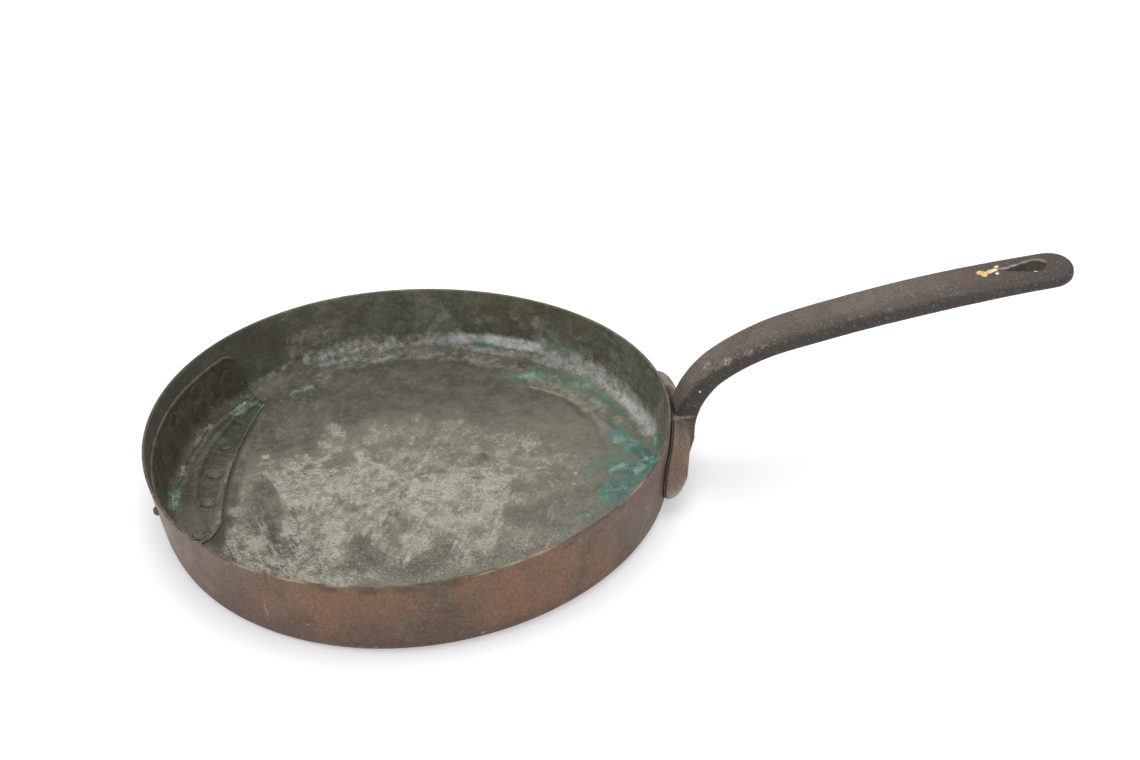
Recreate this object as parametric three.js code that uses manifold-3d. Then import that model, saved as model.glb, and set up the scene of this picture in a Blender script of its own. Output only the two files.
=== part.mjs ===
// An old copper frying pan: a raised copper pan with a riveted cast iron handle,
// and a riveted copper patch inside it, opposite the handle.
// Millimetres, +Z up. The origin is the middle of the underside, and the handle points along +X.

import * as THREE from 'three';
import { mergeVertices } from 'three/addons/utils/BufferGeometryUtils.js';
import Module from 'manifold-3d';

const wasm = await Module();
wasm.setup();

const degree = Math.PI / 180;

// Pan
const rimDiameter = 270;
const panHeight = 39.5;
const wallFlare = 3.3;
const wallThickness = 1.5;
const floorThickness = 1.7;
const outerCornerRadius = 6;
const coveRadius = 8;
const rimRounding = 0.5;

// Hand-raised shape: three soft corners, a slight oval, and a rim that sits off the base
const cornerSwell = 1.6;
const cornerAngle = 12 * degree;
const ovalSwell = 0.9;
const baseShiftX = 2.7;
const baseShiftY = -3.3;

// Clearance that touching pieces keep
const seatGap = 0.3;

// Handle bar: a short stem, a tight bend, a wide bend and a slightly curved grip
const stemStandOff = 6.1;
const stemGap = 1;
const stemStartHeight = 21.2;
const stemRise = 2.8;
const bendRadius = 48.5;
const bendAngle = 54.6 * degree;
const armRadius = 112.5;
const armAngle = 19 * degree;
const gripRadius = 876;
const gripLength = 146;
const stemWidth = 18.4;
const gripWidth = 25.7;
const endWidth = 28.5;
const stemThickness = 13.5;
const gripThickness = 10.3;
const endThickness = 6.4;
const endRounding = 12;
const endFullness = 0.35;
const barSquareness = 4.5;
const rootDepth = 12;
const rootCover = 10;

// Shares of the bar's length where its width and thickness settle, and where they change again
const widthSettles = 0.45;
const widthSpreads = 0.5;
const thicknessSettles = 0.32;
const thicknessTapers = 0.6;

// Hanging eye near the handle's end: a teardrop
const eyeRadius = 5.4;
const eyeLength = 16.2;
const eyeFromEnd = 18.7;
const eyeOffset = 1.5;

// Flange that the handle is cast with, bent round the wall
const flangeHalfWidth = 42;
const lobeCentre = 28;
const flangeMidHeight = 21;
const flangeTop = 37.5;
const lobeTop = 33;
const lobeBottom = 9;
const archBottom = 12;
const middleBottom = 6;
const flangeTilt = 8.5 * degree;
const flangeEdgeThickness = 2.2;
const flangePeakThickness = 9.8;
const flangeDome = 0.6;
const lobeTipShare = 0.12;

// Handle rivets
const handleShankDiameter = 6;
const handleHeadDiameter = 10;
const handleTailDiameter = 8;
const handleTailDepth = 1.4;
const handleTailBevel = 0.4;
const handleHeadProud = 0.2;
const middleRivetHeight = 15;

// Patch, measured round the pan and along its profile. It reaches in over the floor from the rim's radius,
// and its edge there is an arc whose radius is given in rim radii.
const patchThickness = 1;
const patchFromAngle = 136.5 * degree;
const patchToAngle = 206 * degree;
const patchWallHeight = 31;
const patchFloorReach = 38.2;
const patchEdgeCurve = 1.963;
const patchEdgeAngle = 177 * degree;
const patchWallCorner = 13;
const patchTipCorner = 3;
const patchFloorCorner = 22;

// Patch rivets. Those on the floor keep a step and a shift of the row that are given in rim radii.
const patchShankDiameter = 4;
const patchHeadDiameter = 8.4;
const patchHeadThickness = 0.7;
const patchTailDiameter = 7;
const patchTailThickness = 2.8;
const floorTailDiameter = 5.6;
const floorTailRecess = 0.05;
const wallRivetHeight = 24.5;
const firstRivetDrop = 5;
const floorRivetInset = 8;
const floorRivetStep = 0.19;
const floorRivetShift = -0.05;
const lastRivetShift = 4;
const wallRivetCount = 6;
const floorRivetCount = 5;
const endRivetInset = 5.2 * degree;

// Mesh steps
const roundSteps = 80;
const cornerSteps = 4;
const rivetSteps = 14;
const barSides = 20;
const barSteps = 26;
const rootSteps = 3;
const endSteps = 5;
const barStepGrading = 1.25;
const flangeColumns = 28;
const flangeRows = 9;
const patchColumns = 26;
const patchRows = 12;

// How far a cutter runs on past the faces that it opens
const overshoot = 3;

const rimRadius = rimDiameter / 2;
const baseRadius = rimRadius - wallFlare;

function clamp01(value) {
  return Math.min(1, Math.max(0, value));
}

function ease(value) {
  const t = clamp01(value);
  return t * t * (3 - 2 * t);
}

// Radius of the wall's outside before the pan was knocked out of round
function trueRadius(height) {
  return baseRadius + wallFlare * clamp01(height / panHeight);
}

// Radius of the wall's outside at an angle and a height
function wallRadius(angle, height) {
  const rise = clamp01(height / panHeight);
  const corners = cornerSwell * Math.cos(3 * (angle - cornerAngle));
  const oval = ovalSwell * rise * Math.cos(2 * angle);
  const shift = (1 - rise) * (baseShiftX * Math.cos(angle) + baseShiftY * Math.sin(angle));
  return trueRadius(height) + corners + oval + shift;
}

// A point at an angle, a distance outside the wall's outside, and a height
function atWall(angle, offset, height) {
  const radius = wallRadius(angle, height) + offset;
  return new THREE.Vector3(radius * Math.cos(angle), radius * Math.sin(angle), height);
}

// Outward direction of the wall, square to its surface
function wallNormal(angle, height) {
  const step = 0.5;
  const turn = step / rimRadius;
  const around = atWall(angle + turn, 0, height).sub(atWall(angle - turn, 0, height));
  const up = atWall(angle, 0, height + step).sub(atWall(angle, 0, height - step));
  return around.cross(up).normalize();
}

// The pan's inside profile by arc length: down the wall, through the cove and in over the floor.
// It gives radius inside the wall, height and the direction into the pan.
const wallSlope = Math.atan2(wallFlare, panHeight);
const coveTurn = Math.PI / 2 - wallSlope;
const coveLength = coveRadius * coveTurn;
const coveTop = floorThickness + coveRadius * (1 - Math.sin(wallSlope));

function insideProfile(length) {
  const wallLength = (panHeight - coveTop) / Math.cos(wallSlope);
  const centreInset = coveRadius * Math.cos(wallSlope);
  if (length < wallLength) {
    const height = panHeight - length * Math.cos(wallSlope);
    return { inset: 0, height, turn: 0 };
  }
  const wallAtCove = trueRadius(coveTop);
  if (length < wallLength + coveLength) {
    const turn = (length - wallLength) / coveRadius;
    const inset = centreInset - coveRadius * Math.cos(wallSlope + turn);
    const height = floorThickness + coveRadius * (1 - Math.sin(wallSlope + turn));
    return { inset: inset + trueRadius(height) - wallAtCove, height, turn };
  }
  const along = length - wallLength - coveLength;
  const inset = centreInset + along + baseRadius - wallAtCove;
  return { inset, height: floorThickness, turn: coveTurn };
}

function insideLengthAtHeight(height) {
  return (panHeight - height) / Math.cos(wallSlope);
}

function insideLengthOnFloor(along) {
  return insideLengthAtHeight(coveTop) + coveLength + along;
}

// A point above the pan's inside surface, lifted off it by a distance
function overInside(angle, length, lift) {
  const profile = insideProfile(length);
  const tilt = wallSlope + profile.turn;
  const inset = wallThickness / Math.cos(wallSlope) + profile.inset + lift * Math.cos(tilt);
  const height = profile.height + lift * Math.sin(tilt);
  const radius = wallRadius(angle, profile.height) - inset;
  return new THREE.Vector3(radius * Math.cos(angle), radius * Math.sin(angle), height);
}

function toSolid(geometry) {
  const bare = geometry.clone();
  bare.deleteAttribute('normal');
  bare.deleteAttribute('uv');
  const merged = mergeVertices(bare, 1e-4);
  const vertProperties = new Float32Array(merged.attributes.position.array);
  const triVerts = new Uint32Array(merged.index.array);
  return new wasm.Manifold(new wasm.Mesh({ numProp: 3, vertProperties, triVerts }));
}

function toGeometry(solid) {
  const mesh = solid.getMesh();
  const geometry = new THREE.BufferGeometry();
  geometry.setAttribute('position', new THREE.BufferAttribute(new Float32Array(mesh.vertProperties), 3));
  geometry.setIndex(new THREE.BufferAttribute(new Uint32Array(mesh.triVerts), 1));
  geometry.computeVertexNormals();
  return geometry;
}

function cutAll(solid, cutters) {
  return cutters.reduce((rest, cutter) => rest.subtract(toSolid(cutter)), solid);
}

// A closed geometry from rings of points, each ring closed on itself, with both ends capped
function loft(rings) {
  const size = rings[0].length;
  const points = rings.flat();
  const faces = [];
  for (let ring = 0; ring < rings.length - 1; ring++) {
    for (let side = 0; side < size; side++) {
      const next = (side + 1) % size;
      const a = ring * size + side;
      const b = ring * size + next;
      faces.push(a, b, b + size, a, b + size, a + size);
    }
  }
  const last = (rings.length - 1) * size;
  for (let side = 1; side < size - 1; side++) {
    faces.push(0, side + 1, side);
    faces.push(last, last + side, last + side + 1);
  }
  const geometry = new THREE.BufferGeometry().setFromPoints(points);
  geometry.setIndex(faces);
  return geometry;
}

// A closed shell between two grids of points with the same rows and columns
function shell(near, far) {
  const rows = near.length;
  const columns = near[0].length;
  const rings = [];
  for (let row = 0; row < rows; row++) {
    rings.push([...near[row], ...[...far[row]].reverse()]);
  }
  const size = columns * 2;
  const points = rings.flat();
  const faces = [];
  for (let row = 0; row < rows - 1; row++) {
    for (let side = 0; side < size; side++) {
      const next = (side + 1) % size;
      const a = row * size + side;
      const b = row * size + next;
      faces.push(a, b, b + size, a, b + size, a + size);
    }
  }
  const last = (rows - 1) * size;
  for (let column = 0; column < columns - 1; column++) {
    const partner = size - 1 - column;
    faces.push(column, partner, partner - 1, column, partner - 1, column + 1);
    faces.push(last + column, last + column + 1, last + partner - 1);
    faces.push(last + column, last + partner - 1, last + partner);
  }
  const geometry = new THREE.BufferGeometry().setFromPoints(points);
  geometry.setIndex(faces);
  return geometry;
}

// Straight round cutter along a direction, from one distance to another
function drill(origin, direction, diameter, from, to) {
  const geometry = new THREE.CylinderGeometry(diameter / 2, diameter / 2, to - from, rivetSteps);
  geometry.translate(0, (from + to) / 2, 0);
  return placeAlong(geometry, origin, direction);
}

// Cone cutter whose diameter changes between the two distances
function taperDrill(origin, direction, diameterFrom, diameterTo, from, to) {
  const geometry = new THREE.CylinderGeometry(diameterTo / 2, diameterFrom / 2, to - from, rivetSteps);
  geometry.translate(0, (from + to) / 2, 0);
  return placeAlong(geometry, origin, direction);
}

function turnTo(direction) {
  return new THREE.Quaternion().setFromUnitVectors(new THREE.Vector3(0, 1, 0), direction);
}

function placeAlong(geometry, origin, direction) {
  geometry.applyQuaternion(turnTo(direction));
  geometry.translate(origin.x, origin.y, origin.z);
  return geometry;
}

function turned(profile) {
  const points = profile.map(([radius, along]) => new THREE.Vector2(radius, along));
  return new THREE.LatheGeometry(points, rivetSteps);
}

// Places of the rivets. Each has a point on the face it starts from and the direction out of the pan.
function flangeAngle(along) {
  return along / rimRadius;
}

function flangeLift(along) {
  return along * Math.tan(flangeTilt);
}

const handleRivets = [
  { name: 'handle_rivet_near', along: -lobeCentre, height: flangeMidHeight },
  { name: 'handle_rivet_middle', along: 0, height: middleRivetHeight },
  { name: 'handle_rivet_far', along: lobeCentre, height: flangeMidHeight },
].map(({ name, along, height }) => {
  const angle = flangeAngle(along);
  const level = height + flangeLift(along);
  return { name, along, height, origin: atWall(angle, 0, level), direction: wallNormal(angle, level) };
});

const patchMiddle = (patchFromAngle + patchToAngle) / 2;

// Profile length at which the floor is a radius from the pan's middle
function lengthAtRadius(angle, radius) {
  const inset = wallRadius(angle, floorThickness) - wallThickness / Math.cos(wallSlope) - radius;
  return insideLengthOnFloor(inset - insideProfile(insideLengthOnFloor(0)).inset);
}

// The patch's floor edge is an arc whose centre lies past the pan's middle
const patchEdgeRadius = rimRadius * patchEdgeCurve;
const patchEdgeCentre = rimRadius - patchFloorReach - patchEdgeRadius;

function patchEdgeAt(angle) {
  const across = patchEdgeCentre * Math.cos(angle - patchEdgeAngle);
  return across + Math.sqrt(across ** 2 - patchEdgeCentre ** 2 + patchEdgeRadius ** 2);
}

const wallRivets = Array.from({ length: wallRivetCount }, (_, index) => {
  const from = patchFromAngle + endRivetInset;
  const to = patchToAngle - endRivetInset;
  const angle = from + (to - from) * index / (wallRivetCount - 1);
  const height = index === 0 ? wallRivetHeight - firstRivetDrop : wallRivetHeight;
  const seat = overInside(angle, insideLengthAtHeight(height), 0);
  return { name: `patch_wall_rivet_${index + 1}`, seat, direction: wallNormal(angle, seat.z) };
});

const floorRivets = Array.from({ length: floorRivetCount }, (_, index) => {
  const arc = patchEdgeRadius + floorRivetInset;
  const place = (index - (floorRivetCount - 1) / 2) * floorRivetStep + floorRivetShift;
  const swing = rimRadius * place / arc;
  const out = patchEdgeCentre + arc * Math.cos(swing);
  const side = arc * Math.sin(swing);
  const angle = patchEdgeAngle + Math.atan2(side, out);
  const radius = Math.hypot(out, side) + (index === floorRivetCount - 1 ? lastRivetShift : 0);
  const seat = overInside(angle, lengthAtRadius(angle, radius), 0);
  return { name: `patch_floor_rivet_${index + 1}`, seat, direction: new THREE.Vector3(0, 0, -1) };
});

// Pan body

function panProfile() {
  const points = [[0, 0], [baseRadius - outerCornerRadius, 0]];
  for (let step = 1; step <= cornerSteps; step++) {
    const angle = Math.PI / 2 * step / cornerSteps;
    const radius = baseRadius - outerCornerRadius * (1 - Math.sin(angle));
    points.push([radius, outerCornerRadius * (1 - Math.cos(angle))]);
  }
  points.push([trueRadius(panHeight / 2), panHeight / 2]);
  points.push([rimRadius, panHeight - rimRounding]);
  points.push([rimRadius - rimRounding, panHeight]);
  const inset = wallThickness / Math.cos(wallSlope);
  points.push([rimRadius - inset + rimRounding, panHeight]);
  points.push([rimRadius - inset, panHeight - rimRounding]);
  const middle = insideProfile(insideLengthAtHeight(panHeight / 2));
  points.push([trueRadius(middle.height) - inset, middle.height]);
  for (let step = 0; step <= cornerSteps; step++) {
    const spot = insideProfile(insideLengthAtHeight(coveTop) + coveLength * step / cornerSteps);
    points.push([trueRadius(spot.height) - inset - spot.inset, spot.height]);
  }
  points.push([0, floorThickness]);
  return points.map(([radius, height]) => new THREE.Vector2(radius, height));
}

// Knock a round turned shape out of round, like the wall
function knockOut(geometry) {
  const position = geometry.attributes.position;
  for (let index = 0; index < position.count; index++) {
    const x = position.getX(index);
    const y = position.getY(index);
    const height = position.getZ(index);
    const angle = Math.atan2(y, x);
    const radius = Math.hypot(x, y);
    const swell = wallRadius(angle, height) - trueRadius(height);
    const share = ease(radius / (trueRadius(height) - coveRadius));
    const grown = radius > 0 ? (radius + swell * share) / radius : 1;
    position.setXY(index, x * grown, y * grown);
  }
  return geometry;
}

function panBody() {
  const geometry = new THREE.LatheGeometry(panProfile(), roundSteps);
  geometry.rotateX(Math.PI / 2);
  knockOut(geometry);
  const holes = [];
  for (const { origin, direction } of handleRivets) {
    const narrow = handleShankDiameter + 2 * seatGap;
    const wide = handleHeadDiameter + 2 * seatGap;
    holes.push(drill(origin, direction, narrow, -wallThickness - overshoot, overshoot));
    holes.push(taperDrill(origin, direction, 2 * wide - narrow, narrow, -2 * wallThickness, 0));
  }
  for (const { seat, direction } of wallRivets) {
    const narrow = patchShankDiameter + 2 * seatGap;
    holes.push(drill(seat, direction, narrow, -overshoot, wallThickness + overshoot));
  }
  for (const { seat, direction } of floorRivets) {
    const narrow = patchShankDiameter + 2 * seatGap;
    const wide = floorTailDiameter + 2 * seatGap;
    const middle = floorThickness / 2;
    holes.push(drill(seat, direction, narrow, -overshoot, floorThickness));
    holes.push(taperDrill(seat, direction, narrow, 2 * wide - narrow, middle, 3 * middle));
  }
  return toGeometry(cutAll(toSolid(geometry), holes));
}

// Handle

const stemCentre = wallRadius(0, stemStartHeight) + stemStandOff;
const stemCover = stemStandOff + stemThickness / 2;
const bendLength = bendRadius * bendAngle;
const armLength = armRadius * armAngle;
const barLength = stemRise + bendLength + armLength + gripLength;

// Centre line of the bar: straight up, then three arcs that follow on
function barSpot(length) {
  let left = length;
  let x = stemCentre;
  let z = stemStartHeight;
  let lean = 0;
  const go = (distance, radius) => {
    const part = Math.min(Math.max(left, 0), distance);
    const turn = part / radius;
    x += radius * (Math.cos(lean) - Math.cos(lean + turn));
    z += radius * (Math.sin(lean + turn) - Math.sin(lean));
    lean += turn;
    left -= distance;
  };
  z += Math.min(length, stemRise);
  left -= stemRise;
  go(bendLength, bendRadius);
  go(armLength, armRadius);
  go(gripLength, gripRadius);
  return { x, z, lean };
}

function barWidth(length) {
  const share = length / barLength;
  const first = stemWidth + (gripWidth - stemWidth) * ease(share / widthSettles);
  return first + (endWidth - gripWidth) * ease((share - widthSpreads) / (1 - widthSpreads));
}

function barThickness(length) {
  const share = length / barLength;
  const first = stemThickness + (gripThickness - stemThickness) * ease(share / thicknessSettles);
  return first + (endThickness - gripThickness) * ease((share - thicknessTapers) / (1 - thicknessTapers));
}

// One section of the bar: a rounded rectangle across the centre line
function barSection(spot, width, thickness) {
  const ring = [];
  const power = 2 / barSquareness;
  for (let side = 0; side < barSides; side++) {
    const angle = 2 * Math.PI * (side + 0.5) / barSides;
    const across = Math.sign(Math.cos(angle)) * Math.abs(Math.cos(angle)) ** power * width / 2;
    const out = Math.sign(Math.sin(angle)) * Math.abs(Math.sin(angle)) ** power * thickness / 2;
    const x = spot.x - Math.cos(spot.lean) * out;
    const z = spot.z + Math.sin(spot.lean) * out;
    ring.push(new THREE.Vector3(x, across, z));
  }
  return ring;
}

// Metal over the wall at a height on the bar's root, below the stem
function rootCoverAt(height) {
  const share = clamp01(1 - (stemStartHeight - height) / rootDepth);
  return rootCover + (stemCover - rootCover) * share;
}

function handleBar() {
  const rings = [];
  for (let step = 0; step < rootSteps; step++) {
    const height = stemStartHeight - rootDepth * (1 - step / rootSteps);
    const cover = rootCoverAt(height);
    rings.push(barSection({ x: wallRadius(0, height) + cover / 2, z: height, lean: 0 }, stemWidth, cover));
  }
  const bodyLength = barLength - endRounding;
  for (let step = 0; step <= barSteps; step++) {
    const length = bodyLength * (step / barSteps) ** barStepGrading;
    rings.push(barSection(barSpot(length), barWidth(length), barThickness(length)));
  }
  for (let step = 1; step <= endSteps; step++) {
    const turn = Math.PI / 2 * step / (endSteps + endFullness);
    const length = bodyLength + endRounding * Math.sin(turn);
    const width = barWidth(length) * Math.cos(turn);
    const thickness = barThickness(length) * Math.cos(turn) ** endFullness;
    rings.push(barSection(barSpot(length), width, thickness));
  }
  return loft(rings);
}

// The pan's outside grown by the stem's gap, for cutting the bar clear of the wall
function stemClearance() {
  const above = 2 * panHeight;
  const profile = [[0, -panHeight], [baseRadius + stemGap, -panHeight], [baseRadius + stemGap, 0]];
  profile.push([rimRadius + stemGap, panHeight], [rimRadius + stemGap, above], [0, above]);
  const points = profile.map(([radius, height]) => new THREE.Vector2(radius, height));
  const geometry = new THREE.LatheGeometry(points, roundSteps);
  geometry.rotateX(Math.PI / 2);
  return knockOut(geometry);
}

// Flange outline by distance along the wall from the middle of the handle
function lobeEnd(along) {
  const past = clamp01((Math.abs(along) - lobeCentre) / (flangeHalfWidth - lobeCentre));
  return Math.max(Math.sqrt(1 - past * past), lobeTipShare);
}

function flangeUpper(along) {
  const start = stemWidth / 2;
  const fall = ease((Math.abs(along) - start) / (lobeCentre - start));
  const edge = flangeTop + (lobeTop - flangeTop) * fall;
  return flangeMidHeight + (edge - flangeMidHeight) * lobeEnd(along);
}

function flangeLower(along) {
  const middle = (1 + Math.cos(Math.PI * clamp01(Math.abs(along) / (lobeCentre / 2)))) / 2;
  const outer = (1 + Math.cos(Math.PI * clamp01((lobeCentre - Math.abs(along)) / (lobeCentre / 2)))) / 2;
  const edge = archBottom + (middleBottom - archBottom) * middle + (lobeBottom - archBottom) * outer;
  return flangeMidHeight + (edge - flangeMidHeight) * lobeEnd(along);
}

function flangeThickness(along, height) {
  const low = flangeLower(along);
  const high = flangeUpper(along);
  const rise = clamp01((height - low) / (high - low));
  const dome = Math.sin(Math.PI * rise) ** flangeDome * lobeEnd(along);
  return flangeEdgeThickness + (flangePeakThickness - flangeEdgeThickness) * dome;
}

function flangePlate() {
  const near = [];
  const far = [];
  for (let column = 0; column <= flangeColumns; column++) {
    const along = -flangeHalfWidth * Math.cos(Math.PI * column / flangeColumns);
    const low = flangeLower(along);
    const high = flangeUpper(along);
    const nearLine = [];
    const farLine = [];
    for (let row = 0; row <= flangeRows; row++) {
      const height = low + (high - low) * (1 - Math.cos(Math.PI * row / flangeRows)) / 2;
      const level = height + flangeLift(along);
      nearLine.push(atWall(flangeAngle(along), seatGap, level));
      farLine.push(atWall(flangeAngle(along), seatGap + flangeThickness(along, height), level));
    }
    near.push(nearLine);
    far.push(farLine);
  }
  return shell(near, far);
}

function eyeCutter() {
  const half = Math.asin(eyeRadius / eyeLength);
  const outline = new THREE.Shape();
  outline.moveTo(-eyeLength, 0);
  outline.lineTo(-eyeRadius * Math.sin(half), -eyeRadius * Math.cos(half));
  outline.absarc(0, 0, eyeRadius, -Math.PI / 2 - half, Math.PI / 2 + half, false);
  outline.closePath();
  const depth = 4 * endThickness;
  const geometry = new THREE.ExtrudeGeometry(outline, { depth, bevelEnabled: false, curveSegments: 16 });
  geometry.translate(0, eyeOffset, -depth / 2);
  const spot = barSpot(barLength - eyeFromEnd);
  geometry.rotateY(spot.lean - Math.PI / 2);
  geometry.translate(spot.x, 0, spot.z);
  return geometry;
}

// Distance from the wall to the outer face of the casting at a rivet
function rivetDepth(along, height) {
  const plate = seatGap + flangeThickness(along, height);
  return Math.abs(along) < stemWidth / 2 ? Math.max(plate, rootCoverAt(height)) : plate;
}

function handle() {
  const bar = cutAll(toSolid(handleBar()), [stemClearance()]);
  const cast = bar.add(toSolid(flangePlate()));
  const holes = [eyeCutter()];
  for (const { along, height, origin, direction } of handleRivets) {
    const depth = rivetDepth(along, height);
    const past = depth + overshoot;
    holes.push(drill(origin, direction, handleShankDiameter + 2 * seatGap, -overshoot, past));
    holes.push(drill(origin, direction, handleTailDiameter + 2 * seatGap, depth - handleTailDepth, past));
  }
  return toGeometry(cutAll(cast, holes));
}

// Rivets

function handleRivet({ along, height }) {
  const depth = rivetDepth(along, height);
  const head = handleHeadDiameter / 2;
  const shank = handleShankDiameter / 2;
  const tail = handleTailDiameter / 2;
  return turned([
    [0, -wallThickness - handleHeadProud],
    [head, -wallThickness - handleHeadProud],
    [shank, 0],
    [shank, depth - handleTailDepth + seatGap],
    [tail, depth - handleTailDepth + seatGap],
    [tail, depth - handleTailBevel],
    [tail * 0.6, depth],
    [0, depth],
  ]);
}

function wallPatchRivet() {
  const head = patchHeadDiameter / 2;
  const shank = patchShankDiameter / 2;
  const tail = patchTailDiameter / 2;
  const seat = -(2 * seatGap + patchThickness);
  const out = wallThickness + seatGap;
  return turned([
    [0, seat - patchHeadThickness],
    [head * 0.8, seat - patchHeadThickness],
    [head, seat - patchHeadThickness * 0.4],
    [head, seat],
    [shank, seat],
    [shank, out],
    [tail, out],
    [tail * 0.85, out + patchTailThickness * 0.6],
    [0, out + patchTailThickness],
  ]);
}

function floorPatchRivet() {
  const head = patchHeadDiameter / 2;
  const shank = patchShankDiameter / 2;
  const tail = floorTailDiameter / 2;
  const seat = -(2 * seatGap + patchThickness);
  const end = floorThickness - floorTailRecess;
  return turned([
    [0, seat - patchHeadThickness],
    [head * 0.8, seat - patchHeadThickness],
    [head, seat - patchHeadThickness * 0.4],
    [head, seat],
    [shank, seat],
    [shank, floorThickness / 2 + seatGap],
    [tail, end],
    [0, end],
  ]);
}

// Patch

// How much a rounded corner at either end of the patch takes off at an angle
function cornerCut(angle, fromCorner, toCorner) {
  const atFrom = angle < patchMiddle;
  const corner = atFrom ? fromCorner : toCorner;
  const fromEnd = atFrom ? angle - patchFromAngle : patchToAngle - angle;
  const left = clamp01(1 - fromEnd * rimRadius / corner);
  return corner * (1 - Math.sqrt(Math.max(0, 1 - left * left)));
}

function patch() {
  const near = [];
  const far = [];
  for (let column = 0; column <= patchColumns; column++) {
    const swing = (1 - Math.cos(Math.PI * column / patchColumns)) / 2;
    const angle = patchFromAngle + (patchToAngle - patchFromAngle) * swing;
    const top = insideLengthAtHeight(patchWallHeight);
    const from = top + cornerCut(angle, patchWallCorner, patchWallCorner);
    const edge = lengthAtRadius(angle, patchEdgeAt(angle));
    const to = edge - cornerCut(angle, patchTipCorner, patchFloorCorner);
    const nearLine = [];
    const farLine = [];
    for (let row = 0; row <= patchRows; row++) {
      const length = from + (to - from) * row / patchRows;
      nearLine.push(overInside(angle, length, seatGap));
      farLine.push(overInside(angle, length, seatGap + patchThickness));
    }
    near.push(nearLine);
    far.push(farLine);
  }
  const holes = [];
  const narrow = patchShankDiameter + 2 * seatGap;
  for (const { seat, direction } of [...wallRivets, ...floorRivets]) {
    holes.push(drill(seat, direction, narrow, -patchThickness - overshoot, overshoot));
  }
  return toGeometry(cutAll(toSolid(shell(near, far)), holes));
}

// Finishes

const agedCopper = { color: 0x7a4a36, roughness: 0.5, metalness: 0.85 };
const castIron = { color: 0x4d403c, roughness: 0.65, metalness: 0.5 };
const oldTin = { color: 0x6f6c60, roughness: 0.6, metalness: 0.6 };

function named(name, geometry, finish) {
  const mesh = new THREE.Mesh(geometry, new THREE.MeshStandardMaterial(finish));
  mesh.name = name;
  return mesh;
}

function seated(mesh, origin, direction) {
  mesh.position.copy(origin);
  mesh.quaternion.copy(turnTo(direction));
  return mesh;
}

const group = new THREE.Group();
group.add(named('pan_body', panBody(), agedCopper));
group.add(named('handle', handle(), castIron));
group.add(named('repair_patch', patch(), oldTin));
for (const rivet of handleRivets) {
  group.add(seated(named(rivet.name, handleRivet(rivet), agedCopper), rivet.origin, rivet.direction));
}
for (const rivet of wallRivets) {
  group.add(seated(named(rivet.name, wallPatchRivet(), oldTin), rivet.seat, rivet.direction));
}
for (const rivet of floorRivets) {
  group.add(seated(named(rivet.name, floorPatchRivet(), oldTin), rivet.seat, rivet.direction));
}

export default group;
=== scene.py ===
import math
import bpy
import bmesh
import numpy as np
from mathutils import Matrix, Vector, noise


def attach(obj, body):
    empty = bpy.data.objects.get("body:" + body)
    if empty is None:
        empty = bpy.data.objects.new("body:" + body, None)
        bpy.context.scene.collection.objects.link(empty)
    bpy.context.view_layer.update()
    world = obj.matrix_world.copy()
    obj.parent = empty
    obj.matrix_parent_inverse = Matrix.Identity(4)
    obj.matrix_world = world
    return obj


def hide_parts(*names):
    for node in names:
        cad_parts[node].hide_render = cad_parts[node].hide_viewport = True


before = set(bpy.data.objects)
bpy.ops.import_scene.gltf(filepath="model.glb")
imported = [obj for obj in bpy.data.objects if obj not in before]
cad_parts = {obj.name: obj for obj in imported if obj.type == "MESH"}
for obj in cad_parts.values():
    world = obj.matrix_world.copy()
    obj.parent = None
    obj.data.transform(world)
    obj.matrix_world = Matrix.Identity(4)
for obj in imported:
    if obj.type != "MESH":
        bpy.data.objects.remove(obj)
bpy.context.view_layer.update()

mm = 0.001

# Small helpers

def newObject(name, data):
    holder = bpy.data.objects.new(name, data)
    bpy.context.scene.collection.objects.link(holder)
    return holder


def connect(tree, value, socket):
    # Links another node's output to a socket, or sets it to a value. A colour may leave out its alpha
    if isinstance(value, bpy.types.NodeSocket):
        tree.links.new(value, socket)
    elif socket.type == "RGBA" and len(value) == 3:
        socket.default_value = (*value, 1)
    else:
        socket.default_value = value


def addNode(tree, kind, inputs=(), output=0, **settings):
    # Adds a node and gives back one of its outputs, or all of them for None
    node = tree.nodes.new(kind)
    for name, value in settings.items():
        setattr(node, name, value)
    for key, value in dict(inputs).items():
        connect(tree, value, node.inputs[key])
    if output is None:
        return node.outputs
    return node.outputs[output] if node.outputs else None


def emptyTree(owner):
    # The node tree of a material or of the world, with nothing in it
    owner.use_nodes = True
    owner.node_tree.nodes.clear()
    return owner.node_tree


def clampShare(value):
    return np.clip(value, 0, 1)


def eased(value):
    share = clampShare(value)
    return share * share * (3 - 2 * share)


def between(value, low, high):
    return eased((value - low) / (high - low))


def bell(away, width):
    return np.exp(-(away / width) ** 2)


def lumps(points, layers):
    # Soft random values, one for each point. A layer has its height, the size of its lumps and a seed
    total = np.zeros(points.shape[:-1])
    for height, size, seed in layers:
        shift = np.array((seed, -seed, 2 * seed))
        values = [noise.noise(Vector(point)) for point in points.reshape(-1, 3) / size + shift]
        total = total + height * np.array(values).reshape(total.shape)
    return total


def smoothFaces(mesh):
    mesh.polygons.foreach_set("use_smooth", [True] * len(mesh.polygons))


def meshFrom(name, points, faces):
    mesh = bpy.data.meshes.new(name)
    mesh.from_pydata([tuple(point) for point in points], [], faces)
    mesh.validate()
    smoothFaces(mesh)
    mesh.update()
    return mesh


def outwardFaces(mesh):
    shape = bmesh.new()
    shape.from_mesh(mesh)
    bmesh.ops.recalc_face_normals(shape, faces=shape.faces)
    shape.to_mesh(mesh)
    shape.free()


def addValues(mesh, name, values):
    # One number for each point, for the materials to read
    mesh.attributes.new(name, "FLOAT", "POINT").data.foreach_set("value", np.ravel(values))


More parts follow.
